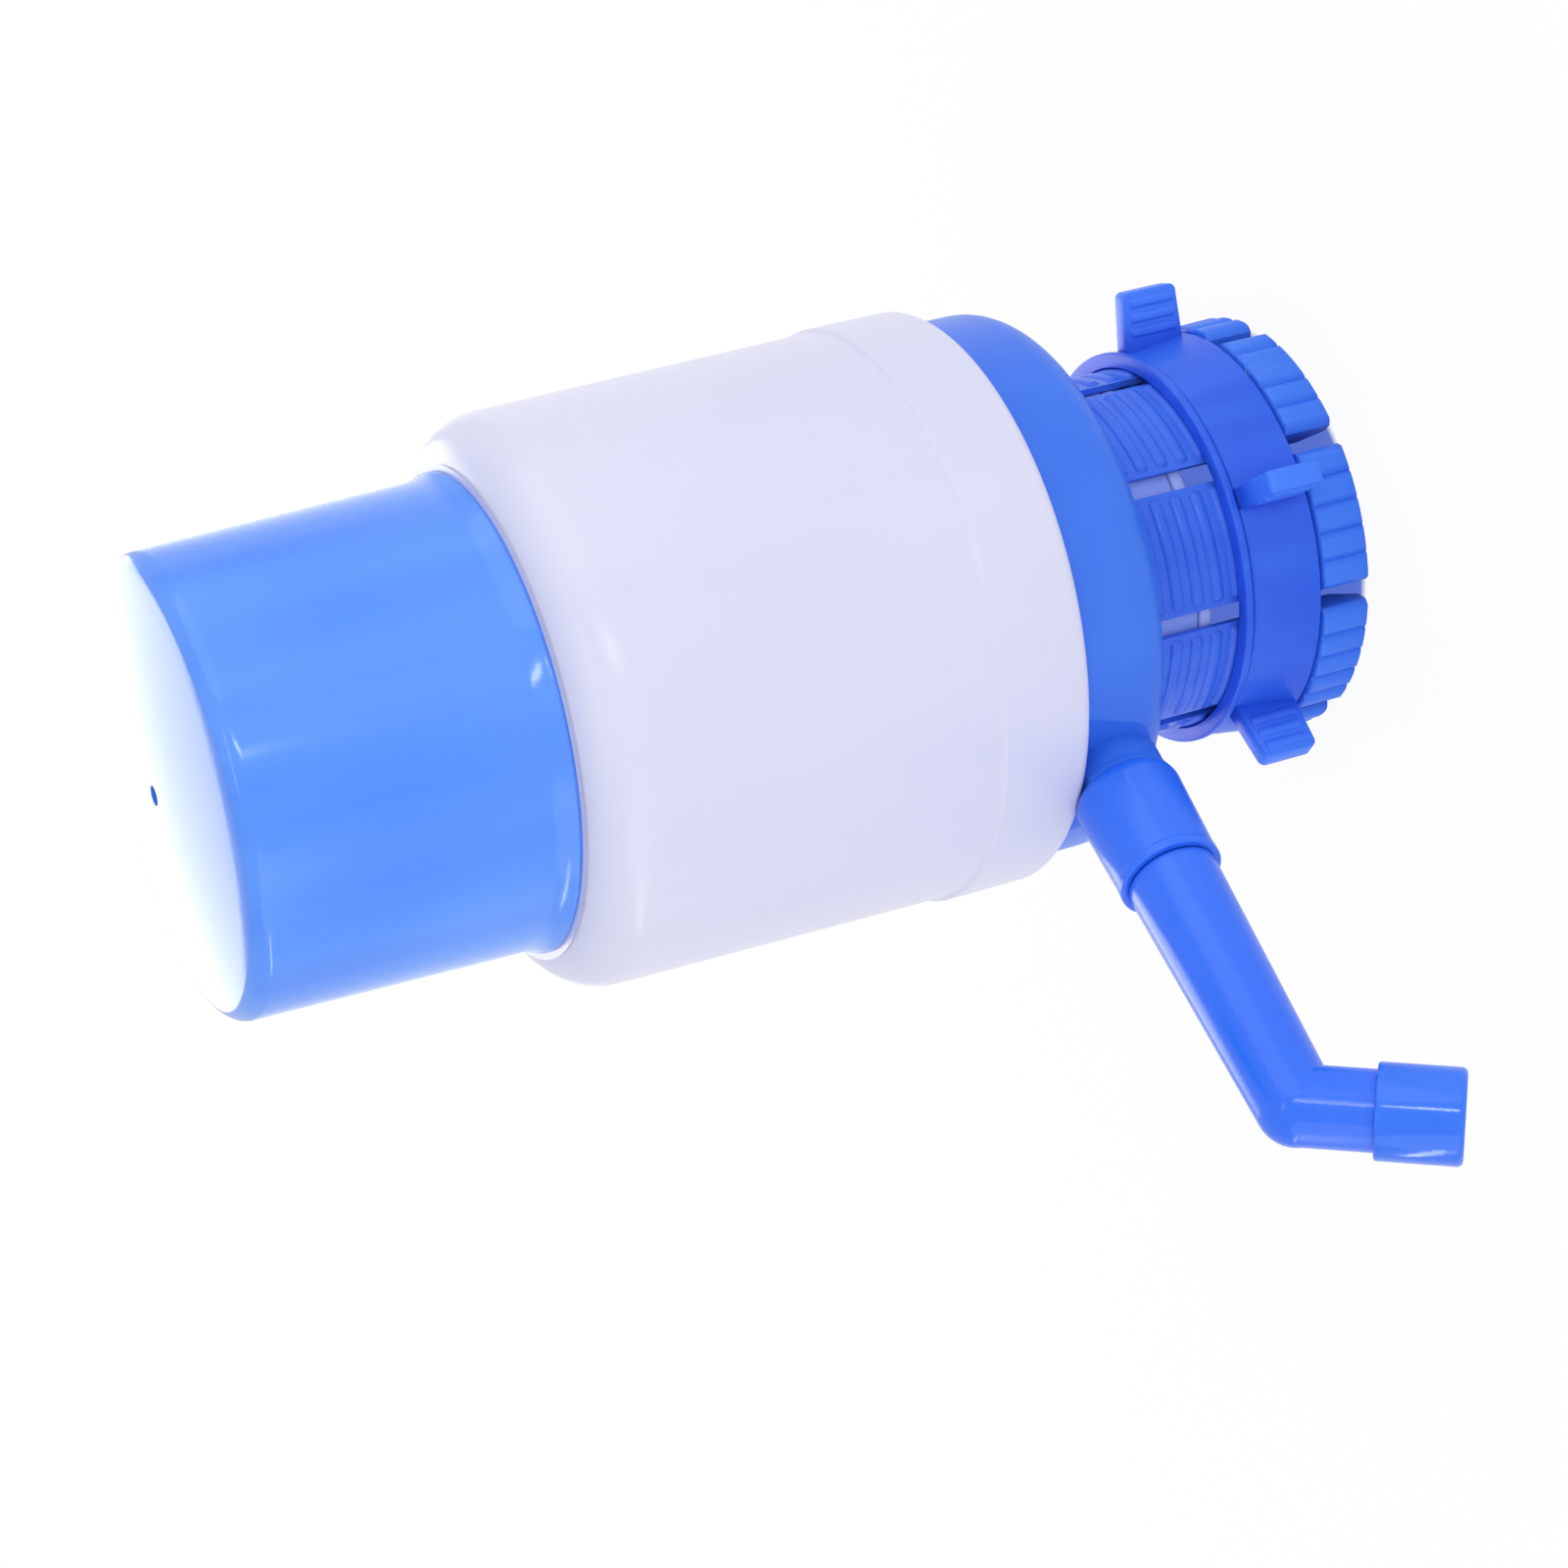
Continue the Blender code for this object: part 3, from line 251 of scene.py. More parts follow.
def mouldedFinish(name, look):
    made = bpy.data.materials.new(name)
    made.use_nodes = True
    nodes, links = made.node_tree.nodes, made.node_tree.links
    shader = nodes["Principled BSDF"]
    shader.inputs["Metallic"].default_value = 0.0
    shader.inputs["IOR"].default_value = look.get("ior", 1.49)
    shader.inputs["Specular IOR Level"].default_value = look.get("shine", 0.5)
    shader.inputs["Coat Weight"].default_value = look.get("coat", 0.0)
    shader.inputs["Coat Roughness"].default_value = 0.08
    if look.get("glow"):
        shader.inputs["Subsurface Weight"].default_value = look["glow"]
        shader.inputs["Subsurface Radius"].default_value = look["glowRadius"]
        shader.inputs["Subsurface Scale"].default_value = look["glowDepth"]
    where = nodes.new("ShaderNodeTexCoord")
    stretch = nodes.new("ShaderNodeMapping")  # long streaks where the plastic flowed
    stretch.inputs["Scale"].default_value = look["flow"]
    stretch.inputs["Rotation"].default_value = (0, math.radians(look.get("turn", 0)), 0)
    links.new(where.outputs["Object"], stretch.inputs["Vector"])
    streaks = nodes.new("ShaderNodeTexNoise")
    streaks.inputs["Scale"].default_value = 1.0
    streaks.inputs["Detail"].default_value = 3.0
    streaks.inputs["Roughness"].default_value = 0.45
    links.new(stretch.outputs["Vector"], streaks.inputs["Vector"])
    clouds = nodes.new("ShaderNodeTexNoise")  # slow change of shade across the wall
    clouds.inputs["Scale"].default_value = look["clouds"]
    clouds.inputs["Detail"].default_value = 1.0
    links.new(where.outputs["Object"], clouds.inputs["Vector"])
    both = nodes.new("ShaderNodeMix")
    both.data_type = "FLOAT"
    both.inputs[0].default_value = 0.5
    links.new(streaks.outputs["Fac"], both.inputs[2])
    links.new(clouds.outputs["Fac"], both.inputs[3])
    shades = nodes.new("ShaderNodeValToRGB")
    shades.color_ramp.elements[0].position = 0.30
    shades.color_ramp.elements[0].color = (*look["deep"], 1)
    shades.color_ramp.elements[1].position = 0.70
    shades.color_ramp.elements[1].color = (*look["pale"], 1)
    links.new(both.outputs[0], shades.inputs["Fac"])
    colour = withPaintedLight(nodes, links, where, shades.outputs["Color"], look)
    links.new(colour, shader.inputs["Base Color"])
    gloss = nodes.new("ShaderNodeMapRange")
    gloss.inputs["To Min"].default_value = look["rough"][0]
    gloss.inputs["To Max"].default_value = look["rough"][1]
    links.new(streaks.outputs["Fac"], gloss.inputs["Value"])
    links.new(gloss.outputs["Result"], shader.inputs["Roughness"])
    grain = nodes.new("ShaderNodeTexNoise")  # the skin of the mould
    grain.inputs["Scale"].default_value = look["grain"]
    grain.inputs["Detail"].default_value = 2.0
    links.new(where.outputs["Object"], grain.inputs["Vector"])
    waves = nodes.new("ShaderNodeMix")
    waves.data_type = "FLOAT"
    waves.inputs[0].default_value = look.get("ripple", 0.35)
    links.new(grain.outputs["Fac"], waves.inputs[2])
    links.new(streaks.outputs["Fac"], waves.inputs[3])
    bump = nodes.new("ShaderNodeBump")
    bump.inputs["Strength"].default_value = look["bump"]
    bump.inputs["Distance"].default_value = look.get("depth", 0.0002)
    links.new(waves.outputs[0], bump.inputs["Height"])
    links.new(bump.outputs["Normal"], shader.inputs["Normal"])
    made.diffuse_color = (*look["pale"], 1)
    return made


finishes = {
    "cap": {"deep": (0.050, 0.225, 0.91), "pale": (0.125, 0.345, 0.98), "rough": (0.10, 0.17),
            # painted shade on the cap's crown: a duller blue by height, to go with the reflection
            # on its top face
            "crown": (182.5, 183.6, (0.080, 0.225, 0.84)),
            "flow": (90, 90, 5), "clouds": 16, "grain": 900, "bump": 0.10, "ior": 1.52},
    "housing": {"deep": (0.655, 0.662, 0.845), "pale": (0.692, 0.700, 0.870),
                "rough": (0.24, 0.32),
                "flow": (60, 60, 8), "clouds": 14, "grain": 1400, "bump": 0.08},
    "base": {"deep": (0.030, 0.155, 0.79), "pale": (0.048, 0.200, 0.86), "rough": (0.28, 0.38),
             "flow": (70, 70, 30), "clouds": 18, "grain": 1300, "bump": 0.10, "shine": 0.4},
    "collar": {"deep": (0.030, 0.125, 0.74), "pale": (0.052, 0.185, 0.86), "rough": (0.24, 0.34),
               # painted light: the flared finger ends are painted paler outwards
               "paintedLightOut": (30.5, 33.0, (0.052, 0.205, 0.87)),
               "flow": (160, 160, 30), "clouds": 30, "grain": 1300, "bump": 0.12, "shine": 0.35},
    "ring": {"deep": (0.022, 0.104, 0.73), "pale": (0.042, 0.160, 0.84), "rough": (0.26, 0.36),
             # painted light: the wings are painted paler towards their tips
             "paintedLightOut": (32.8, 37.0, (0.060, 0.215, 0.95)),
             "flow": (200, 200, 18), "clouds": 30, "grain": 1300, "bump": 0.14, "shine": 0.28},
    "spout": {"deep": (0.018, 0.142, 0.88), "pale": (0.032, 0.178, 0.94), "rough": (0.17, 0.25),
              "flow": (10, 160, 160), "turn": 5, "clouds": 26, "grain": 1100, "bump": 0.10},
    "nozzleCap": {"deep": (0.018, 0.150, 0.86), "pale": (0.034, 0.190, 0.92),
                  "rough": (0.08, 0.15),
                  "flow": (160, 160, 20), "turn": 29, "clouds": 30, "grain": 1100, "bump": 0.08},
    "inner": {"deep": (0.66, 0.66, 0.74), "pale": (0.74, 0.74, 0.80), "rough": (0.38, 0.50),
              "flow": (50, 50, 12), "clouds": 30, "grain": 1500, "bump": 0.15},
    "neck": {"deep": (0.66, 0.66, 0.74), "pale": (0.74, 0.74, 0.80), "rough": (0.38, 0.50),
             # painted light: the white cup wall is painted blue, for blue light through the
             # collar's walls
             "paintedLightOut": (25.6, 26.8, (0.23, 0.34, 0.84)),
             "flow": (50, 50, 12), "clouds": 30, "grain": 1500, "bump": 0.15},
    "bellows": {"deep": (0.68, 0.68, 0.72), "pale": (0.78, 0.78, 0.80), "rough": (0.42, 0.56),
                "flow": (40, 40, 6), "clouds": 24, "grain": 1500, "bump": 0.15},
    "silicone": {"deep": (0.70, 0.70, 0.78), "pale": (0.80, 0.80, 0.86), "rough": (0.46, 0.60),
                 # painted light: near the collar wall the silicone is painted blue, for blue light
                 # through the collar's walls
                 "paintedLightOut": (25.6, 26.8, (0.36, 0.46, 0.90)),
                 "flow": (60, 60, 60), "clouds": 60, "grain": 1800, "bump": 0.2},
    "rubber": {"deep": (0.035, 0.035, 0.040), "pale": (0.060, 0.060, 0.068), "rough": (0.50, 0.68),
               "flow": (80, 80, 80), "clouds": 80, "grain": 1800, "bump": 0.25},
}
finish = {key: mouldedFinish(key + "Plastic", look) for key, look in finishes.items()}
print("finishes ready")


# press cap
capSizes = {"top": 182.6, "crown": 3.0, "rim": 35.0, "rimRound": 2.6, "skirt": 35.9,
            "flare": 36.95, "flareTop": 137.0, "flareFoot": 134.6, "opening": 134.2,
            "lip": 38.5, "lipTop": 130.1, "lipBottom": 129.1, "wall": 2.0, "vent": 1.5,
            "bossOut": 14.4, "bossIn": 12.6, "bossFoot": 174.4, "roof": 1.6,
            "domeRings": (6, 32, 3), "flareRun": 1.2, "lipRun": 1.4}


def makePressCap():
    s = capSizes
    underside = s["top"] - s["roof"]
    # the top is a shallow dome, its crown highest at the vent
    dome = [(r, s["top"] + s["crown"] * (1 - (r / s["rim"]) ** 2), 0)
            for r in range(*s["domeRings"])]
    rings = [(s["vent"], s["top"] + s["crown"], 0.15)] + dome
    rings += [(s["rim"], s["top"], s["rimRound"]), (s["skirt"], s["flareTop"], 1.6),
              (s["flare"], s["flareFoot"], 0.3),
              (s["skirt"], s["flareFoot"] - s["flareRun"], 0.3),
              (s["skirt"], s["lipTop"] + s["lipRun"], 0), (s["lip"], s["lipTop"], 0.3),
              (s["lip"], s["lipBottom"], 0.3), (s["skirt"] - s["wall"], s["lipBottom"], 0.3),
              (s["skirt"] - s["wall"], s["opening"], 0), (s["rim"] - s["wall"], underside, 1.0),
              (s["bossOut"], underside, 0), (s["bossOut"], s["bossFoot"], 0.3),
              (s["bossIn"], s["bossFoot"], 0.3), (s["bossIn"], underside, 0),
              (s["vent"], underside, 0)]
    piece = onPump(turnedShape("pressCap", rings, sides=144, segments=7))
    finished(piece, "press", ["press_cap"], finish["cap"])


makePressCap()


# white housing
housingSizes = {"foot": 56.0, "band": 45.4, "step": 44.8, "stepAt": 71.0, "stepRun": 0.6,
                "shoulder": 44.0, "shoulderRound": 9.0, "top": 134.2, "opening": 37.25,
                "lipRound": 0.7, "footRound": 1.7, "wall": 2.4, "seat": 43.0, "seatTop": 65.6,
                "ledge": 38.2, "ledgeTop": 67.6, "wallFoot": 70.6, "wallTop": 124.7,
                "roofEdge": 38.0, "roofUnder": 131.2}


def makeHousing():
    s = housingSizes
    inner = s["step"] - s["wall"]
    rings = [(s["opening"], s["top"] - s["wall"], 0.3), (s["opening"], s["top"], s["lipRound"]),
             (s["shoulder"], s["top"], s["shoulderRound"]), (s["step"], s["stepAt"], 0.12),
             (s["band"], s["stepAt"] - s["stepRun"], 0.15), (s["band"], s["foot"], s["footRound"]),
             (s["seat"], s["foot"], 0.2), (s["seat"], s["seatTop"], 0),
             (s["ledge"], s["seatTop"], 0), (s["ledge"], s["ledgeTop"], 0),
             (inner, s["wallFoot"], 0), (s["shoulder"] - s["wall"], s["wallTop"], 2.0),
             (s["roofEdge"], s["roofUnder"], 1.0)]
    piece = onPump(turnedShape("housingShell", rings, sides=160, segments=9))
    finished(piece, "body", ["housing_shell"], finish["housing"])


makeHousing()


# blue base with the outlet's stub and the flat face round it
baseSizes = {"radius": 42.7, "round": 6.7, "bottom": 39.6, "hole": 28.9, "spigotTop": 64.7,
             "face": (41.5, -14.0, -12.0), "faceEnd": (46.0, 14.0, 7.1), "stubRoot": 38.2,
             "stub": 7.4, "flareStart": 44.9, "flare": 7.85, "stubEnd": 46.4, "spigot": 5.4,
             "spigotEnd": 52.5, "bore": 4.2, "boreEnds": (30, 56), "underHousing": 55.7,
             "outletHeight": 45.3, "outletTilt": 85, "wall": 2.2, "floor": 41.8,
             "fence": (31.9, 33.5), "fenceTop": 43.2, "fenceFoot": 41.2, "ledge": 2.0,
             "ledgeLevels": (54.8, 56.0, 57.6), "room": (50, 66)}


def makeBase():
    s = baseSizes
    inside = s["radius"] - s["wall"]
    fenceIn, fenceOut = s["fence"]
    under, start, top = s["ledgeLevels"]
    rings = [(inside, s["spigotTop"], 0), (s["radius"], s["spigotTop"], 0.4),
             (s["radius"], s["bottom"], s["round"]), (s["hole"], s["bottom"], 0.4),
             (s["hole"], s["fenceFoot"], 0), (fenceIn, s["fenceFoot"], 0),
             (fenceIn, s["fenceTop"], 0), (fenceOut, s["fenceTop"], 0), (fenceOut, s["floor"], 0),
             (inside, s["floor"], 4.5), (inside, under, 0), (inside - s["ledge"], start, 0),
             (inside - s["ledge"], top, 0), (inside, top, 0)]
    base = turnedShape("baseCover", rings, sides=160, segments=9)
    outletSpot = (0, 0, s["outletHeight"] * mm)
    flat = blockShape("flatFace", s["face"], s["faceEnd"])
    standAt(flat, outletSpot, s["outletTilt"] - 90)
    base = combined(base, flat, "DIFFERENCE")
    stubRings = [(0, s["spigotEnd"], 0), (s["spigot"], s["spigotEnd"], 0.5),
                 (s["spigot"], s["stubEnd"], 0), (s["flare"], s["stubEnd"], 0.15),
                 (s["stub"], s["flareStart"], 0.3), (s["stub"], s["stubRoot"], 0),
                 (0, s["stubRoot"], 0)]
    stub = standAt(turnedShape("stub", stubRings, sides=80), outletSpot, s["outletTilt"])
    wide, high = s["room"]
    foot = turnedShape("footRoom", [(0, high, 0), (wide, high, 0), (wide, s["underHousing"], 0),
                                    (0, s["underHousing"], 0)], sides=96)
    stub = combined(stub, foot, "DIFFERENCE")
    base = combined(base, stub, "UNION")
    near, far = s["boreEnds"]
    boreRings = [(0, far, 0), (s["bore"], far, 0), (s["bore"], near, 0), (0, near, 0)]
    bore = standAt(turnedShape("bore", boreRings, sides=48), outletSpot, s["outletTilt"])
    base = combined(base, bore, "DIFFERENCE")
    base.name = "baseCover"
    finished(onPump(base), "body", ["base_cover"], finish["base"], 13)


makeBase()


# outlet sleeve, spout tube and dust cap
spoutSizes = {"sleeveStart": 46.5, "sleeveFlare": 47.8, "sleeveEnd": 63.8, "sleeveRoot": 7.9,
              "sleeveWide": 8.3, "sleeveRim": 8.0, "lip": 0.1, "lipLength": 1.3,
              "sleeveBore": 6.7, "stubBore": 5.7, "stubBoreEnd": 52.8, "tubeStart": 54.5,
              "tube": 6.4, "shoulderAt": 64.1, "shoulder": 7.0, "elbow": 6.0, "tubeBore": 4.6,
              "corner": 107.6, "bend": 61, "turn": 13.65, "nozzle": 5.9, "nozzleBore": 4.5,
              "borePast": 1, "lipSlope": 0.25, "gap": 0.3,
              "nozzleLength": 21.5, "grooveStart": 57.9, "grooveEnd": 59.5, "groove": 5.4,
              "capStart": 11.0, "capEnd": 23.5, "cap": 7.0, "capBore": 6.2, "capWall": 1.7,
              "tilt": 85, "height": 45.3}


def onSpout(piece, nozzle=False):
    # a shape turned about Z goes onto the outlet's axis, or onto the nozzle's below the elbow
    s = spoutSizes
    if nozzle:
        standAt(piece, (0, 0, s["corner"] * mm))
        bpy.ops.transform.rotate(value=-math.radians(s["bend"]), orient_axis="Y",
                                 center_override=(0, 0, s["corner"] * mm))
        bakePlace(piece)
    bpy.ops.transform.rotate(value=-math.radians(s["turn"]), orient_axis="Z",
                             center_override=(0, 0, 0))
    bakePlace(piece)
    return standAt(piece, (pumpX, 0, s["height"] * mm), s["tilt"])


def makeSleeve():
    s = spoutSizes
    rings = [(s["sleeveBore"], s["sleeveEnd"], 0.2), (s["sleeveRim"], s["sleeveEnd"], 0.3),
             (s["sleeveRim"], s["sleeveEnd"] - s["lipLength"], 0.1),
             (s["sleeveRim"] - s["lip"], s["sleeveEnd"] - s["lipLength"] - s["lipSlope"], 0.1),
             (s["sleeveWide"], s["sleeveFlare"], 0.5), (s["sleeveRoot"], s["sleeveStart"], 0.15),
             (s["stubBore"], s["sleeveStart"], 0), (s["stubBore"], s["stubBoreEnd"], 0),
             (s["sleeveBore"], s["tubeStart"] - s["gap"], 0)]
    piece = turnedShape("outletSleeve", rings, sides=96, segments=4)
    standAt(piece, (pumpX, 0, s["height"] * mm), s["tilt"])
    finished(piece, "body", ["outlet_sleeve"], finish["spout"], 24)


def ballEnd(radius, middle, steps=12):
    # rings of a round end, from its tip down to its widest
    turns = [math.pi / 2 * (1 - k / steps) for k in range(steps + 1)]
    rings = [(radius * math.cos(a), middle + radius * math.sin(a), 0) for a in turns]
    return [(0, middle + radius, 0)] + rings[1:]


def makeSpout():
    s = spoutSizes
    straight = ballEnd(s["elbow"], s["corner"])
    straight += [(s["shoulder"], s["shoulderAt"], 0.15), (s["tube"], s["shoulderAt"], 0),
                 (s["tube"], s["grooveEnd"], 0), (s["groove"], s["grooveEnd"], 0),
                 (s["groove"], s["grooveStart"], 0), (s["tube"], s["grooveStart"], 0),
                 (s["tube"], s["tubeStart"], 0.3), (0, s["tubeStart"], 0)]
    tube = onSpout(turnedShape("spoutTube", straight, sides=96))
    nozzleRings = [(0, s["nozzleLength"], 0), (s["nozzle"], s["nozzleLength"], 0.3),
                   (s["nozzle"], 0, 0), (0, 0, 0)]
    nozzle = onSpout(turnedShape("nozzle", nozzleRings, sides=96), True)
    tube = combined(tube, nozzle, "UNION")
    boreRings = ballEnd(s["tubeBore"], s["corner"])
    mouth, tip = s["tubeStart"] - s["borePast"], s["nozzleLength"] + s["borePast"]
    boreRings += [(s["tubeBore"], mouth, 0), (0, mouth, 0)]
    tube = combined(tube, onSpout(turnedShape("bore", boreRings, sides=48)), "DIFFERENCE")
    nozzleBore = [(0, tip, 0), (s["nozzleBore"], tip, 0),
                  (s["nozzleBore"], 0, 0), (0, 0, 0)]
    bore = onSpout(turnedShape("nozzleBore", nozzleBore, sides=48), True)
    tube = combined(tube, bore, "DIFFERENCE")
    tube.name = "spoutTube"
    finished(tube, "spout", ["spout_tube"], finish["spout"], 24)


def makeDustCap():
    s = spoutSizes
    rings = [(0, s["capEnd"], 0), (s["cap"], s["capEnd"], 0.9), (s["cap"], s["capStart"], 0.45),
             (s["capBore"], s["capStart"], 0.2), (s["capBore"], s["capEnd"] - s["capWall"], 0.3),
             (0, s["capEnd"] - s["capWall"], 0)]
    piece = onSpout(turnedShape("dustCap", rings, sides=96, segments=6), True)
    finished(piece, "nozzle_cap", ["dust_cap"], finish["nozzleCap"])


makeSleeve()
makeSpout()
makeDustCap()


# slotted neck collar
collarSizes = {"bore": 27.6, "wall": 28.6, "flange": 31.6, "flangeFoot": 41.5, "top": 43.0,
               "flare": 33.4, "flareTop": 8.0, "flareDraft": 0.2, "mouth": 30.0, "mouthTop": 4.0,
               "slot": 3.2, "slotTop": 40.2, "slotStart": 22.5, "fingers": 8, "pitch": 45,
               "ledges": (-15, -7.5, 0, 7.5, 15), "ledgeRound": 2.8, "ledgeFoot": 31.9,
               "beyond": 36, "past": 1, "slotIn": 20, "soft": 0.22, "ridgeTop": 34.95,
               "ridgePitch": 3.5, "ridges": 5, "ridgeBody": 1.5, "ridgeProud": 0.56,
               "ridgeSpan": 33.0, "ridgeSteps": 14, "atEnd": 3e-5,
               "ridgeTip": ((0.45, 0.80), (0.30, 0.62), (0.12, 0.4))}


def makeCollar():
    s = collarSizes
    rings = [(s["bore"], s["top"], 0), (s["flange"], s["top"], 0.2),
             (s["flange"], s["flangeFoot"], 0.2), (s["wall"], s["flangeFoot"], 0),
             (s["wall"], s["flareTop"], 0.3), (s["flare"] - s["flareDraft"], s["flareTop"], 0.6),
             (s["flare"], 0.0, 0.9), (s["mouth"], 0.0, 0.3), (s["bore"], s["mouthTop"], 0)]
    collar = turnedShape("neckCollar", rings, sides=192, segments=4)
    # round ledges down the flared ends: what lies outside them is cut away
    low, high = -s["past"], s["flareTop"] + s["past"]
    away = turnedShape("around", [(s["beyond"], high, 0), (s["beyond"], low, 0),
                                  (s["ledgeFoot"], low, 0), (s["ledgeFoot"], high, 0)], sides=96)
    startOn(None)
    bpy.ops.mesh.primitive_cylinder_add(
        vertices=40, radius=s["ledgeRound"] * mm, depth=(s["flareTop"] + 4 * s["past"]) * mm,
        location=((s["flare"] - s["ledgeRound"]) * mm, 0, s["flareTop"] / 2 * mm))
    ledge = bpy.context.object
    bakePlace(ledge)
    slotTurns = [s["slotStart"] + s["pitch"] * k for k in range(s["fingers"])]
    middles = [turn + s["pitch"] / 2 for turn in slotTurns]
    rounds = [copyTurned(ledge, middle + aside) for middle in middles for aside in s["ledges"]]
    bpy.data.objects.remove(ledge)
    for half in (rounds[::2], rounds[1::2]):
        away = combined(away, joined(half), "DIFFERENCE")
    collar = combined(collar, away, "DIFFERENCE")
    slot = blockShape("slot", (s["slotIn"], -s["slot"] / 2, 2 * low),
                      (s["beyond"], s["slot"] / 2, s["slotTop"]))
    collar = combined(collar, copiesAround(slot, slotTurns), "DIFFERENCE")
    softened(collar, s["soft"])
    # one thread ridge, wound a little way round, with its ends drawn in
    startOn(None)
    ridgeMiddle = (s["wall"] + s["ridgeProud"] - s["ridgeBody"]) * mm
    bpy.ops.mesh.primitive_circle_add(
        vertices=14, radius=s["ridgeBody"] * mm, location=(ridgeMiddle, 0, 0),
        rotation=(math.pi / 2, 0, 0))
    ridge = bpy.context.object
    bakePlace(ridge)
    bpy.ops.object.modifier_add(type="SCREW")
    wind = ridge.modifiers[-1]
    wind.axis = "Z"
    wind.angle = math.radians(s["ridgeSpan"])
    wind.screw_offset = s["ridgePitch"] * mm * s["ridgeSpan"] / 360
    wind.steps = wind.render_steps = s["ridgeSteps"]
    bpy.ops.object.modifier_apply(modifier=wind.name)
    for end in (0.0, s["ridgeSpan"]):
        out = Vector((math.cos(math.radians(end)), math.sin(math.radians(end)), 0))
        across = Vector((-out.y, out.x, 0))
        lift = s["ridgePitch"] * mm * end / 360
        centre = out * ridgeMiddle + Vector((0, 0, lift))
        pickEdges(ridge, lambda a, b: max(abs(a.dot(across)), abs(b.dot(across))) < s["atEnd"])
        onward = across * (-1 if end == 0 else 1)
        for shift, size in s["ridgeTip"]:
            bpy.ops.mesh.extrude_region_move(
                TRANSFORM_OT_translate={"value": onward * shift * mm})
            centre += onward * shift * mm
            bpy.ops.transform.resize(value=(size,) * 3, center_override=centre)
        bpy.ops.mesh.edge_face_add()
    bpy.ops.mesh.select_all(action="SELECT")
    bpy.ops.mesh.remove_doubles(threshold=nearly)
    bpy.ops.mesh.normals_make_consistent(inside=False)
    bpy.ops.object.mode_set(mode="OBJECT")
    places = [(middle - s["ridgeSpan"] / 2, s["ridgeTop"] - row * s["ridgePitch"])
              for middle in middles for row in range(s["ridges"])]
    ridges = copiesAround(ridge, *zip(*places))
    collar = joined([collar, ridges])
    collar.name = "neckCollar"
    finished(onPump(collar), "body", ["neck_collar"], finish["collar"])


makeCollar()


# lock ring with its wings, and the washer above it
ringSizes = {"bore": 29.3, "outTop": 31.1, "outBottom": 32.6, "bottom": 8.3, "top": 19.6,
             "wings": 5, "wingStart": 56.2, "wingOut": 40.7, "wingThick": 3.4, "wingTop": 19.6,
             "wingBottom": 9.2, "wingRoot": 30.2, "taper": 1.2, "corner": 1.0,
             "ribs": (38.0, 35.7, 33.4), "ribWide": 1.5, "ribProud": 0.32, "ribInset": 0.8,
             "ribRun": 10.2, "atTip": 0.1, "soft": 0.3, "washerOut": 31.7,
             "washerTop": 21.3, "washerBottom": 19.9}


def makeLockRing():
    s = ringSizes
    rings = [(s["bore"], s["top"], 0.3), (s["outTop"], s["top"], 0.55),
             (s["outBottom"], s["bottom"], 0.5), (s["bore"], s["bottom"], 0.2)]
    ring = turnedShape("lockRing", rings, sides=60, segments=3)
    half = s["wingThick"] / 2
    wing = blockShape("wing", (s["wingRoot"], -half, s["wingBottom"]),
                      (s["wingOut"], half, s["wingTop"]))
    bpy.ops.object.mode_set(mode="EDIT")
    # the neck side slopes down to the tip
    tip, crest = (s["wingOut"] - s["atTip"]) * mm, (s["wingTop"] - s["atTip"]) * mm
    pickEdges(wing, lambda a, b: min(a.x, b.x) > tip and min(a.z, b.z) > crest)
    bpy.ops.transform.translate(value=(0, 0, -s["taper"] * mm))
    pickEdges(wing, lambda a, b: min(a.x, b.x) > tip and abs(a.y - b.y) > half * mm)
    bpy.ops.mesh.bevel(offset=s["corner"] * mm, segments=5, profile=0.5, affect="EDGES")
    bpy.ops.object.mode_set(mode="OBJECT")
    softened(wing, s["soft"])
    bars = []
    for out in s["ribs"]:
        fall = s["taper"] * (out + s["ribWide"] - s["outTop"]) / s["ribRun"]
        low = (out, -half - s["ribProud"], s["wingBottom"] + s["ribInset"])
        high = (out + s["ribWide"], half + s["ribProud"], s["wingTop"] - fall - s["ribInset"])
        bars.append(blockShape("rib", low, high, 0.5, 4))
    wing = joined([wing] + bars)
    wings = copiesAround(wing, [s["wingStart"] + 360 / s["wings"] * k for k in range(s["wings"])])
    ring = joined([ring, wings])
    ring.name = "lockRing"
    finished(onPump(ring), "ring", ["lock_ring"], finish["ring"])


def makeWasher():
    s = ringSizes
    rings = [(s["bore"], s["washerTop"], 0.2), (s["washerOut"], s["washerTop"], 0.35),
             (s["washerOut"], s["washerBottom"], 0.35), (s["bore"], s["washerBottom"], 0.2)]
    piece = onPump(turnedShape("ringWasher", rings, sides=128, segments=3))
    finished(piece, "slip_washer", ["ring_washer"], finish["ring"])


makeLockRing()
makeWasher()


# neck plate and gasket, seen through the slots and from below
plateSizes = {"flange": 31.6, "top": 44.9, "seat": 43.3, "cup": 27.3, "bottom": 27.3,
              "floor": 29.5, "cupWall": 2.0, "nipple": 4.5, "barb": 0.6, "nippleEnd": 8.3,
              "barbTop": 12.3, "holeLong": 6, "notch": 0.5, "past": 1,
              "bore": 3.0, "socket": 6.8, "socketTop": 34.5, "socketFloor": 30.5,
              "elbowBore": 4.2, "holes": 6, "hole": 1.8, "holeCircle": 13.0,
              "gasketTop": 27.0, "gasketBottom": 24.8, "gasketIn": 18.5, "lip": 3.0, "groove": 1.2}


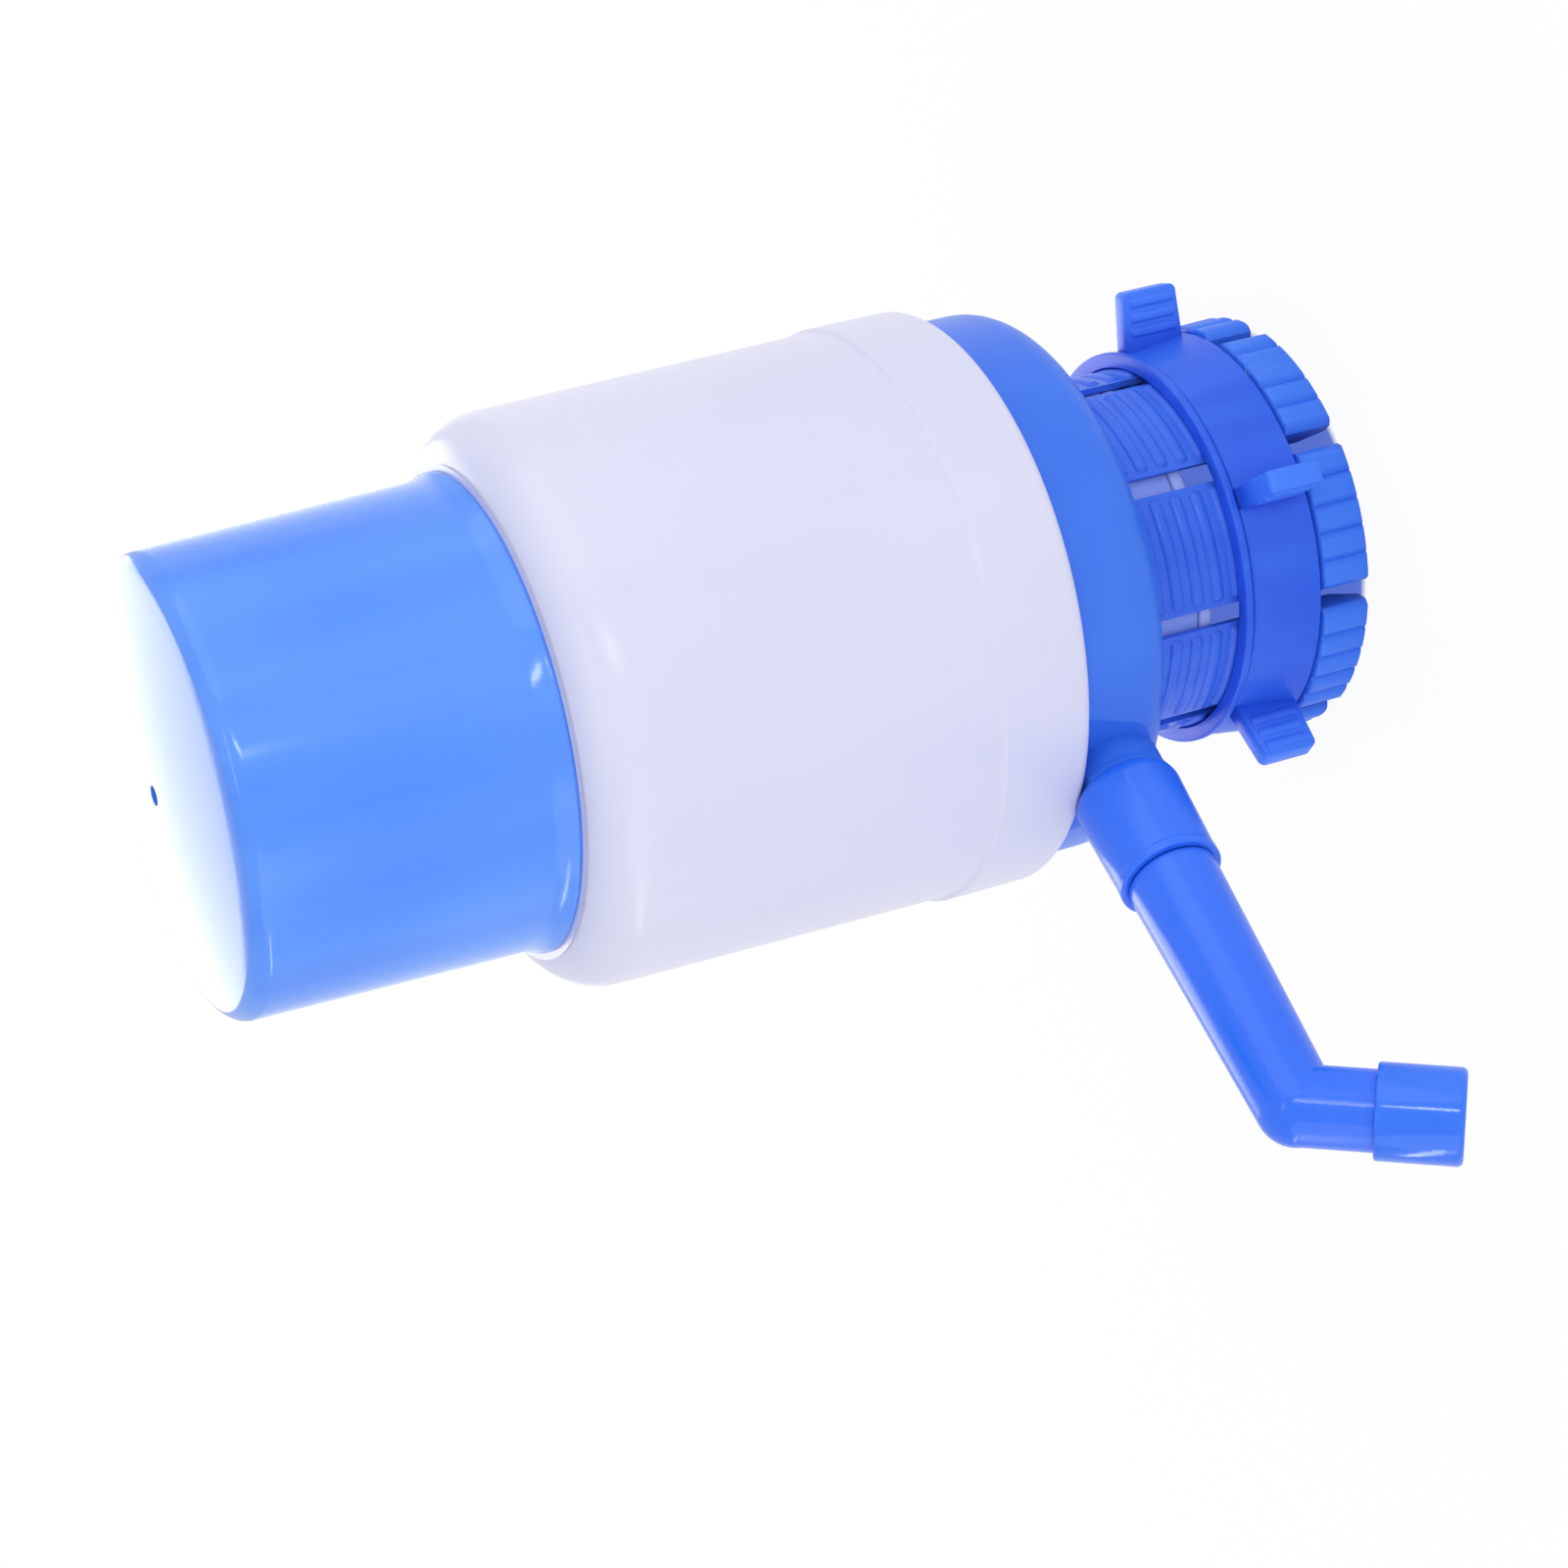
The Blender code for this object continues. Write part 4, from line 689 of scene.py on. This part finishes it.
def makePlate():
    s = plateSizes
    inside = s["cup"] - s["cupWall"]
    rings = [(s["bore"], s["nippleEnd"], 0.3), (s["nipple"], s["nippleEnd"], 0.4),
             (s["nipple"] + s["barb"], s["barbTop"], 0.15),
             (s["nipple"], s["barbTop"], 0), (s["nipple"], s["bottom"], 0.4),
             (s["cup"], s["bottom"], 0.3), (s["cup"], s["seat"], 0), (s["flange"], s["seat"], 0.2),
             (s["flange"], s["top"], 0.3), (inside, s["top"], 0.2), (inside, s["floor"], 0.6),
             (s["socket"], s["floor"], 0.3), (s["socket"], s["socketTop"], 0.2),
             (s["elbowBore"], s["socketTop"], 0.2), (s["elbowBore"], s["socketFloor"], 0),
             (s["bore"], s["socketFloor"], 0)]
    plate = turnedShape("neckPlate", rings, sides=96, segments=3)
    startOn(None)
    bpy.ops.mesh.primitive_cylinder_add(
        vertices=32, radius=s["hole"] * mm, depth=s["holeLong"] * mm,
        location=(s["holeCircle"] * mm, 0, (s["bottom"] + s["past"]) * mm))
    hole = bpy.context.object
    bakePlace(hole)
    holes = copiesAround(hole, [360 / s["holes"] * k for k in range(s["holes"])])
    plate = combined(plate, holes, "DIFFERENCE")
    notch = blockShape("notch", (inside - s["past"], -s["elbowBore"], s["seat"] - s["notch"]),
                       (s["flange"] + s["past"], s["elbowBore"], s["top"] + s["past"]))
    plate = combined(plate, notch, "DIFFERENCE")
    plate.name = "neckPlate"
    finished(onPump(plate), "body", ["neck_plate"], finish["neck"])
    lip = s["gasketIn"] + s["lip"]
    rings = [(s["gasketIn"], s["gasketTop"], 0.2), (s["cup"], s["gasketTop"], 0.5),
             (s["cup"], s["gasketBottom"], 0.5), (lip, s["gasketBottom"], 0.2),
             (lip - s["groove"], s["gasketBottom"] + s["groove"], 0.2),
             (s["gasketIn"], s["gasketBottom"], 0.15)]
    gasket = onPump(turnedShape("neckGasket", rings, sides=96, segments=3))
    finished(gasket, "body", ["neck_gasket"], finish["silicone"])


makePlate()


# bellows, modelled in one fixed shape; the real ones fold as the cap goes down
bellowsSizes = {"mouth": 12.3, "mouthTop": 180.7, "mouthBottom": 170.7, "crest": 30.5,
                "root": 24.5, "folds": 6, "topCrest": 167.7, "throatTop": 67.8, "throat": 30.0,
                "foot": 33.0, "footTop": 63.0, "footBottom": 61.2, "throatBore": 28.7, "wall": 1.2}


def makeBellows():
    s = bellowsSizes
    pitch = (s["topCrest"] - s["throatTop"]) / (s["folds"] - 0.5)
    outer = [(s["mouth"], s["mouthTop"], 0.2), (s["mouth"], s["mouthBottom"], 0.5)]
    for fold in range(s["folds"]):
        crest = s["topCrest"] - fold * pitch
        outer.append((s["crest"], crest, 1.1))
        if fold < s["folds"] - 1:
            outer.append((s["root"], crest - pitch / 2, 1.1))
    outer += [(s["throat"], s["throatTop"], 0.3), (s["throat"], s["footTop"], 0.3),
              (s["foot"], s["footTop"], 0.3), (s["foot"], s["footBottom"], 0.2),
              (s["throatBore"], s["footBottom"], 0.2), (s["throatBore"], s["throatTop"], 0.2)]
    for fold in reversed(range(s["folds"])):
        crest = s["topCrest"] - fold * pitch
        if fold < s["folds"] - 1:
            outer.append((s["root"] - s["wall"], crest - pitch / 2, 0.6))
        outer.append((s["crest"] - s["wall"], crest, 0.6))
    outer += [(s["mouth"] - s["wall"], s["mouthBottom"] - s["wall"], 0.2),
              (s["mouth"] - s["wall"], s["mouthTop"], 0.2)]
    piece = onPump(turnedShape("bellows", outer, sides=72, segments=3))
    finished(piece, "body", ["bellows"], finish["bellows"], 50)
    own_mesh(piece)


makeBellows()


# the inner pieces keep their own solids and take a finish
innerPieces = {"valve_deck": "inner", "bellows_clamp_ring": "inner", "intake_valve_seat": "inner",
               "water_elbow": "inner", "elbow_seal": "silicone", "air_valve": "rubber",
               "intake_valve": "rubber", "spout_o_ring": "rubber"}
for node, look in innerPieces.items():
    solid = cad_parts[node]
    for slot in solid.material_slots:
        slot.material = finish[look]
print("inner pieces finished")


# camera, with the photograph's own tilt
cameraSizes = {"spot": (0.32588749, 0.42238416, 0.3088121),
               "right": (0.41950392, 0.1142623, -0.9005335),
               "up": (-0.69624999, 0.67704088, -0.23843572),
               "back": (0.58245378, 0.72702116, 0.36357643), "lens": 89.944}
startOn(None)
bpy.ops.object.camera_add()
camera = bpy.context.object
camera.name = "photoCamera"
axes = Matrix([cameraSizes["right"], cameraSizes["up"], cameraSizes["back"]]).transposed()
camera.matrix_world = Matrix.Translation(cameraSizes["spot"]) @ axes.to_4x4()
camera.data.lens = cameraSizes["lens"]
camera.data.sensor_width = 36
camera.data.sensor_fit = "HORIZONTAL"
camera.data.clip_start = 0.01
bpy.context.scene.camera = camera


# floor and studio light
lightSizes = {
    "middle": (0.0, 0.0, 0.09),
    "world": 0.80,
    "floorShade": 0.07,
    # the floor inside the collar is painted a blue-grey shadow between these radii
    "neckShade": (0.0305, 0.0322),
    "neckPaintedShadow": (0.10, 0.17, 0.66, 1),
    "shadeReach": (0.20, 0.60),
    "lamps": {  # place as right, up and towards the camera in metres, width, height, power
        "topSoft": ((-0.45, 1.35, 0.75), 2.0, 2.0, 7.0),
        "capSoft": ((-0.62, 0.02, -0.72), 0.70, 0.70, 2.8),
        "lowSoft": ((0.30, -1.20, 0.60), 1.4, 1.4, 3.8),
        "frontStrip": ((0.02, 0.135, 0.56), 0.26, 0.030, 0.32),
        "sideStrip": ((-0.52, -0.04, 0.62), 0.022, 0.36, 0.20),
        "rimStrip": ((0.06, -0.76, -0.06), 0.030, 0.45, 0.28),
    },
}


def fromCamera(place):
    right, up, back = (Vector(cameraSizes[key]) for key in ("right", "up", "back"))
    return Vector(lightSizes["middle"]) + right * place[0] + up * place[1] + back * place[2]


def makeFloor():
    startOn(None)
    bpy.ops.mesh.primitive_plane_add(size=8, location=(0, 0, 0))
    floor = bpy.context.object
    floor.name = "paleFloor"
    bpy.ops.object.mode_set(mode="EDIT")
    bpy.ops.mesh.select_all(action="SELECT")
    bpy.ops.mesh.subdivide(number_cuts=3)
    bpy.ops.object.mode_set(mode="OBJECT")
    made = bpy.data.materials.new("palePaper")
    made.use_nodes = True
    nodes, links = made.node_tree.nodes, made.node_tree.links
    shader = nodes["Principled BSDF"]
    shader.inputs["Roughness"].default_value = 0.85
    shader.inputs["Specular IOR Level"].default_value = 0.1
    where = nodes.new("ShaderNodeTexCoord")
    mottle = nodes.new("ShaderNodeTexNoise")
    mottle.inputs["Scale"].default_value = 3.0
    links.new(where.outputs["Object"], mottle.inputs["Vector"])
    tone = nodes.new("ShaderNodeValToRGB")
    tone.color_ramp.elements[0].color = (0.86, 0.86, 0.86, 1)
    tone.color_ramp.elements[1].color = (0.90, 0.90, 0.90, 1)
    links.new(mottle.outputs["Fac"], tone.inputs["Fac"])
    links.new(tone.outputs["Color"], shader.inputs["Base Color"])
    white = nodes.new("ShaderNodeEmission")
    white.inputs["Strength"].default_value = 1.0
    # painted shadow: inside the collar the floor's white glow turns a painted blue-grey
    inside = nodes.new("ShaderNodeVectorMath")  # blue light falls through the collar
    inside.operation = "DISTANCE"
    inside.inputs[1].default_value = (pumpX, 0, 0)
    links.new(where.outputs["Object"], inside.inputs[0])
    rim = nodes.new("ShaderNodeMapRange")
    rim.inputs["From Min"].default_value = lightSizes["neckShade"][0]
    rim.inputs["From Max"].default_value = lightSizes["neckShade"][1]
    links.new(inside.outputs["Value"], rim.inputs["Value"])
    whiteAndPaintedShadow = nodes.new("ShaderNodeValToRGB")
    whiteAndPaintedShadow.color_ramp.elements[0].color = lightSizes["neckPaintedShadow"]
    whiteAndPaintedShadow.color_ramp.elements[1].color = (1, 1, 1, 1)
    links.new(rim.outputs["Result"], whiteAndPaintedShadow.inputs["Fac"])
    links.new(whiteAndPaintedShadow.outputs["Color"], white.inputs["Color"])
    rays = nodes.new("ShaderNodeLightPath")
    seen = nodes.new("ShaderNodeMath")
    seen.operation = "MAXIMUM"
    links.new(rays.outputs["Is Camera Ray"], seen.inputs[0])
    links.new(rays.outputs["Is Transmission Ray"], seen.inputs[1])
    share = nodes.new("ShaderNodeMath")
    share.operation = "MULTIPLY"
    links.new(seen.outputs[0], share.inputs[0])
    far = nodes.new("ShaderNodeVectorMath")  # the shade fades to white away from the pump
    far.operation = "LENGTH"
    links.new(where.outputs["Object"], far.inputs[0])
    fade = nodes.new("ShaderNodeMapRange")
    fade.inputs["From Min"].default_value = lightSizes["shadeReach"][0]
    fade.inputs["From Max"].default_value = lightSizes["shadeReach"][1]
    fade.inputs["To Min"].default_value = 1 - lightSizes["floorShade"]
    fade.inputs["To Max"].default_value = 1.0
    links.new(far.outputs["Value"], fade.inputs["Value"])
    links.new(fade.outputs["Result"], share.inputs[1])
    mix = nodes.new("ShaderNodeMixShader")
    links.new(share.outputs[0], mix.inputs["Fac"])
    links.new(shader.outputs["BSDF"], mix.inputs[1])
    links.new(white.outputs["Emission"], mix.inputs[2])
    links.new(mix.outputs["Shader"], nodes["Material Output"].inputs["Surface"])
    floor.data.materials.append(made)


def makeLights():
    world = bpy.data.worlds.new("studio")
    bpy.context.scene.world = world
    world.use_nodes = True
    nodes, links = world.node_tree.nodes, world.node_tree.links
    room = nodes["Background"]
    room.inputs["Color"].default_value = (1, 1, 1, 1)
    room.inputs["Strength"].default_value = lightSizes["world"]
    backdrop = nodes.new("ShaderNodeBackground")
    backdrop.inputs["Color"].default_value = (1, 1, 1, 1)
    backdrop.inputs["Strength"].default_value = 1.0
    rays = nodes.new("ShaderNodeLightPath")
    mix = nodes.new("ShaderNodeMixShader")
    links.new(rays.outputs["Is Camera Ray"], mix.inputs["Fac"])
    links.new(room.outputs["Background"], mix.inputs[1])
    links.new(backdrop.outputs["Background"], mix.inputs[2])
    links.new(mix.outputs["Shader"], nodes["World Output"].inputs["Surface"])
    for name, (place, width, height, power) in lightSizes["lamps"].items():
        spot = fromCamera(place)
        startOn(None)
        bpy.ops.object.light_add(type="AREA", location=spot)
        lamp = bpy.context.object
        lamp.name = name
        lamp.data.shape = "ELLIPSE"
        lamp.data.size = width
        lamp.data.size_y = height
        lamp.data.energy = power
        facing = (spot - Vector(lightSizes["middle"])).normalized()  # it shines along its own -Z
        across = Vector(cameraSizes["right"])
        across = (across - facing * across.dot(facing)).normalized()
        turn = Matrix([across, facing.cross(across), facing]).transposed()
        lamp.matrix_world = Matrix.Translation(spot) @ turn.to_4x4()
        lamp.visible_camera = False
    print("camera and lights set")


makeFloor()
makeLights()
bpy.context.scene.view_settings.view_transform = "Standard"
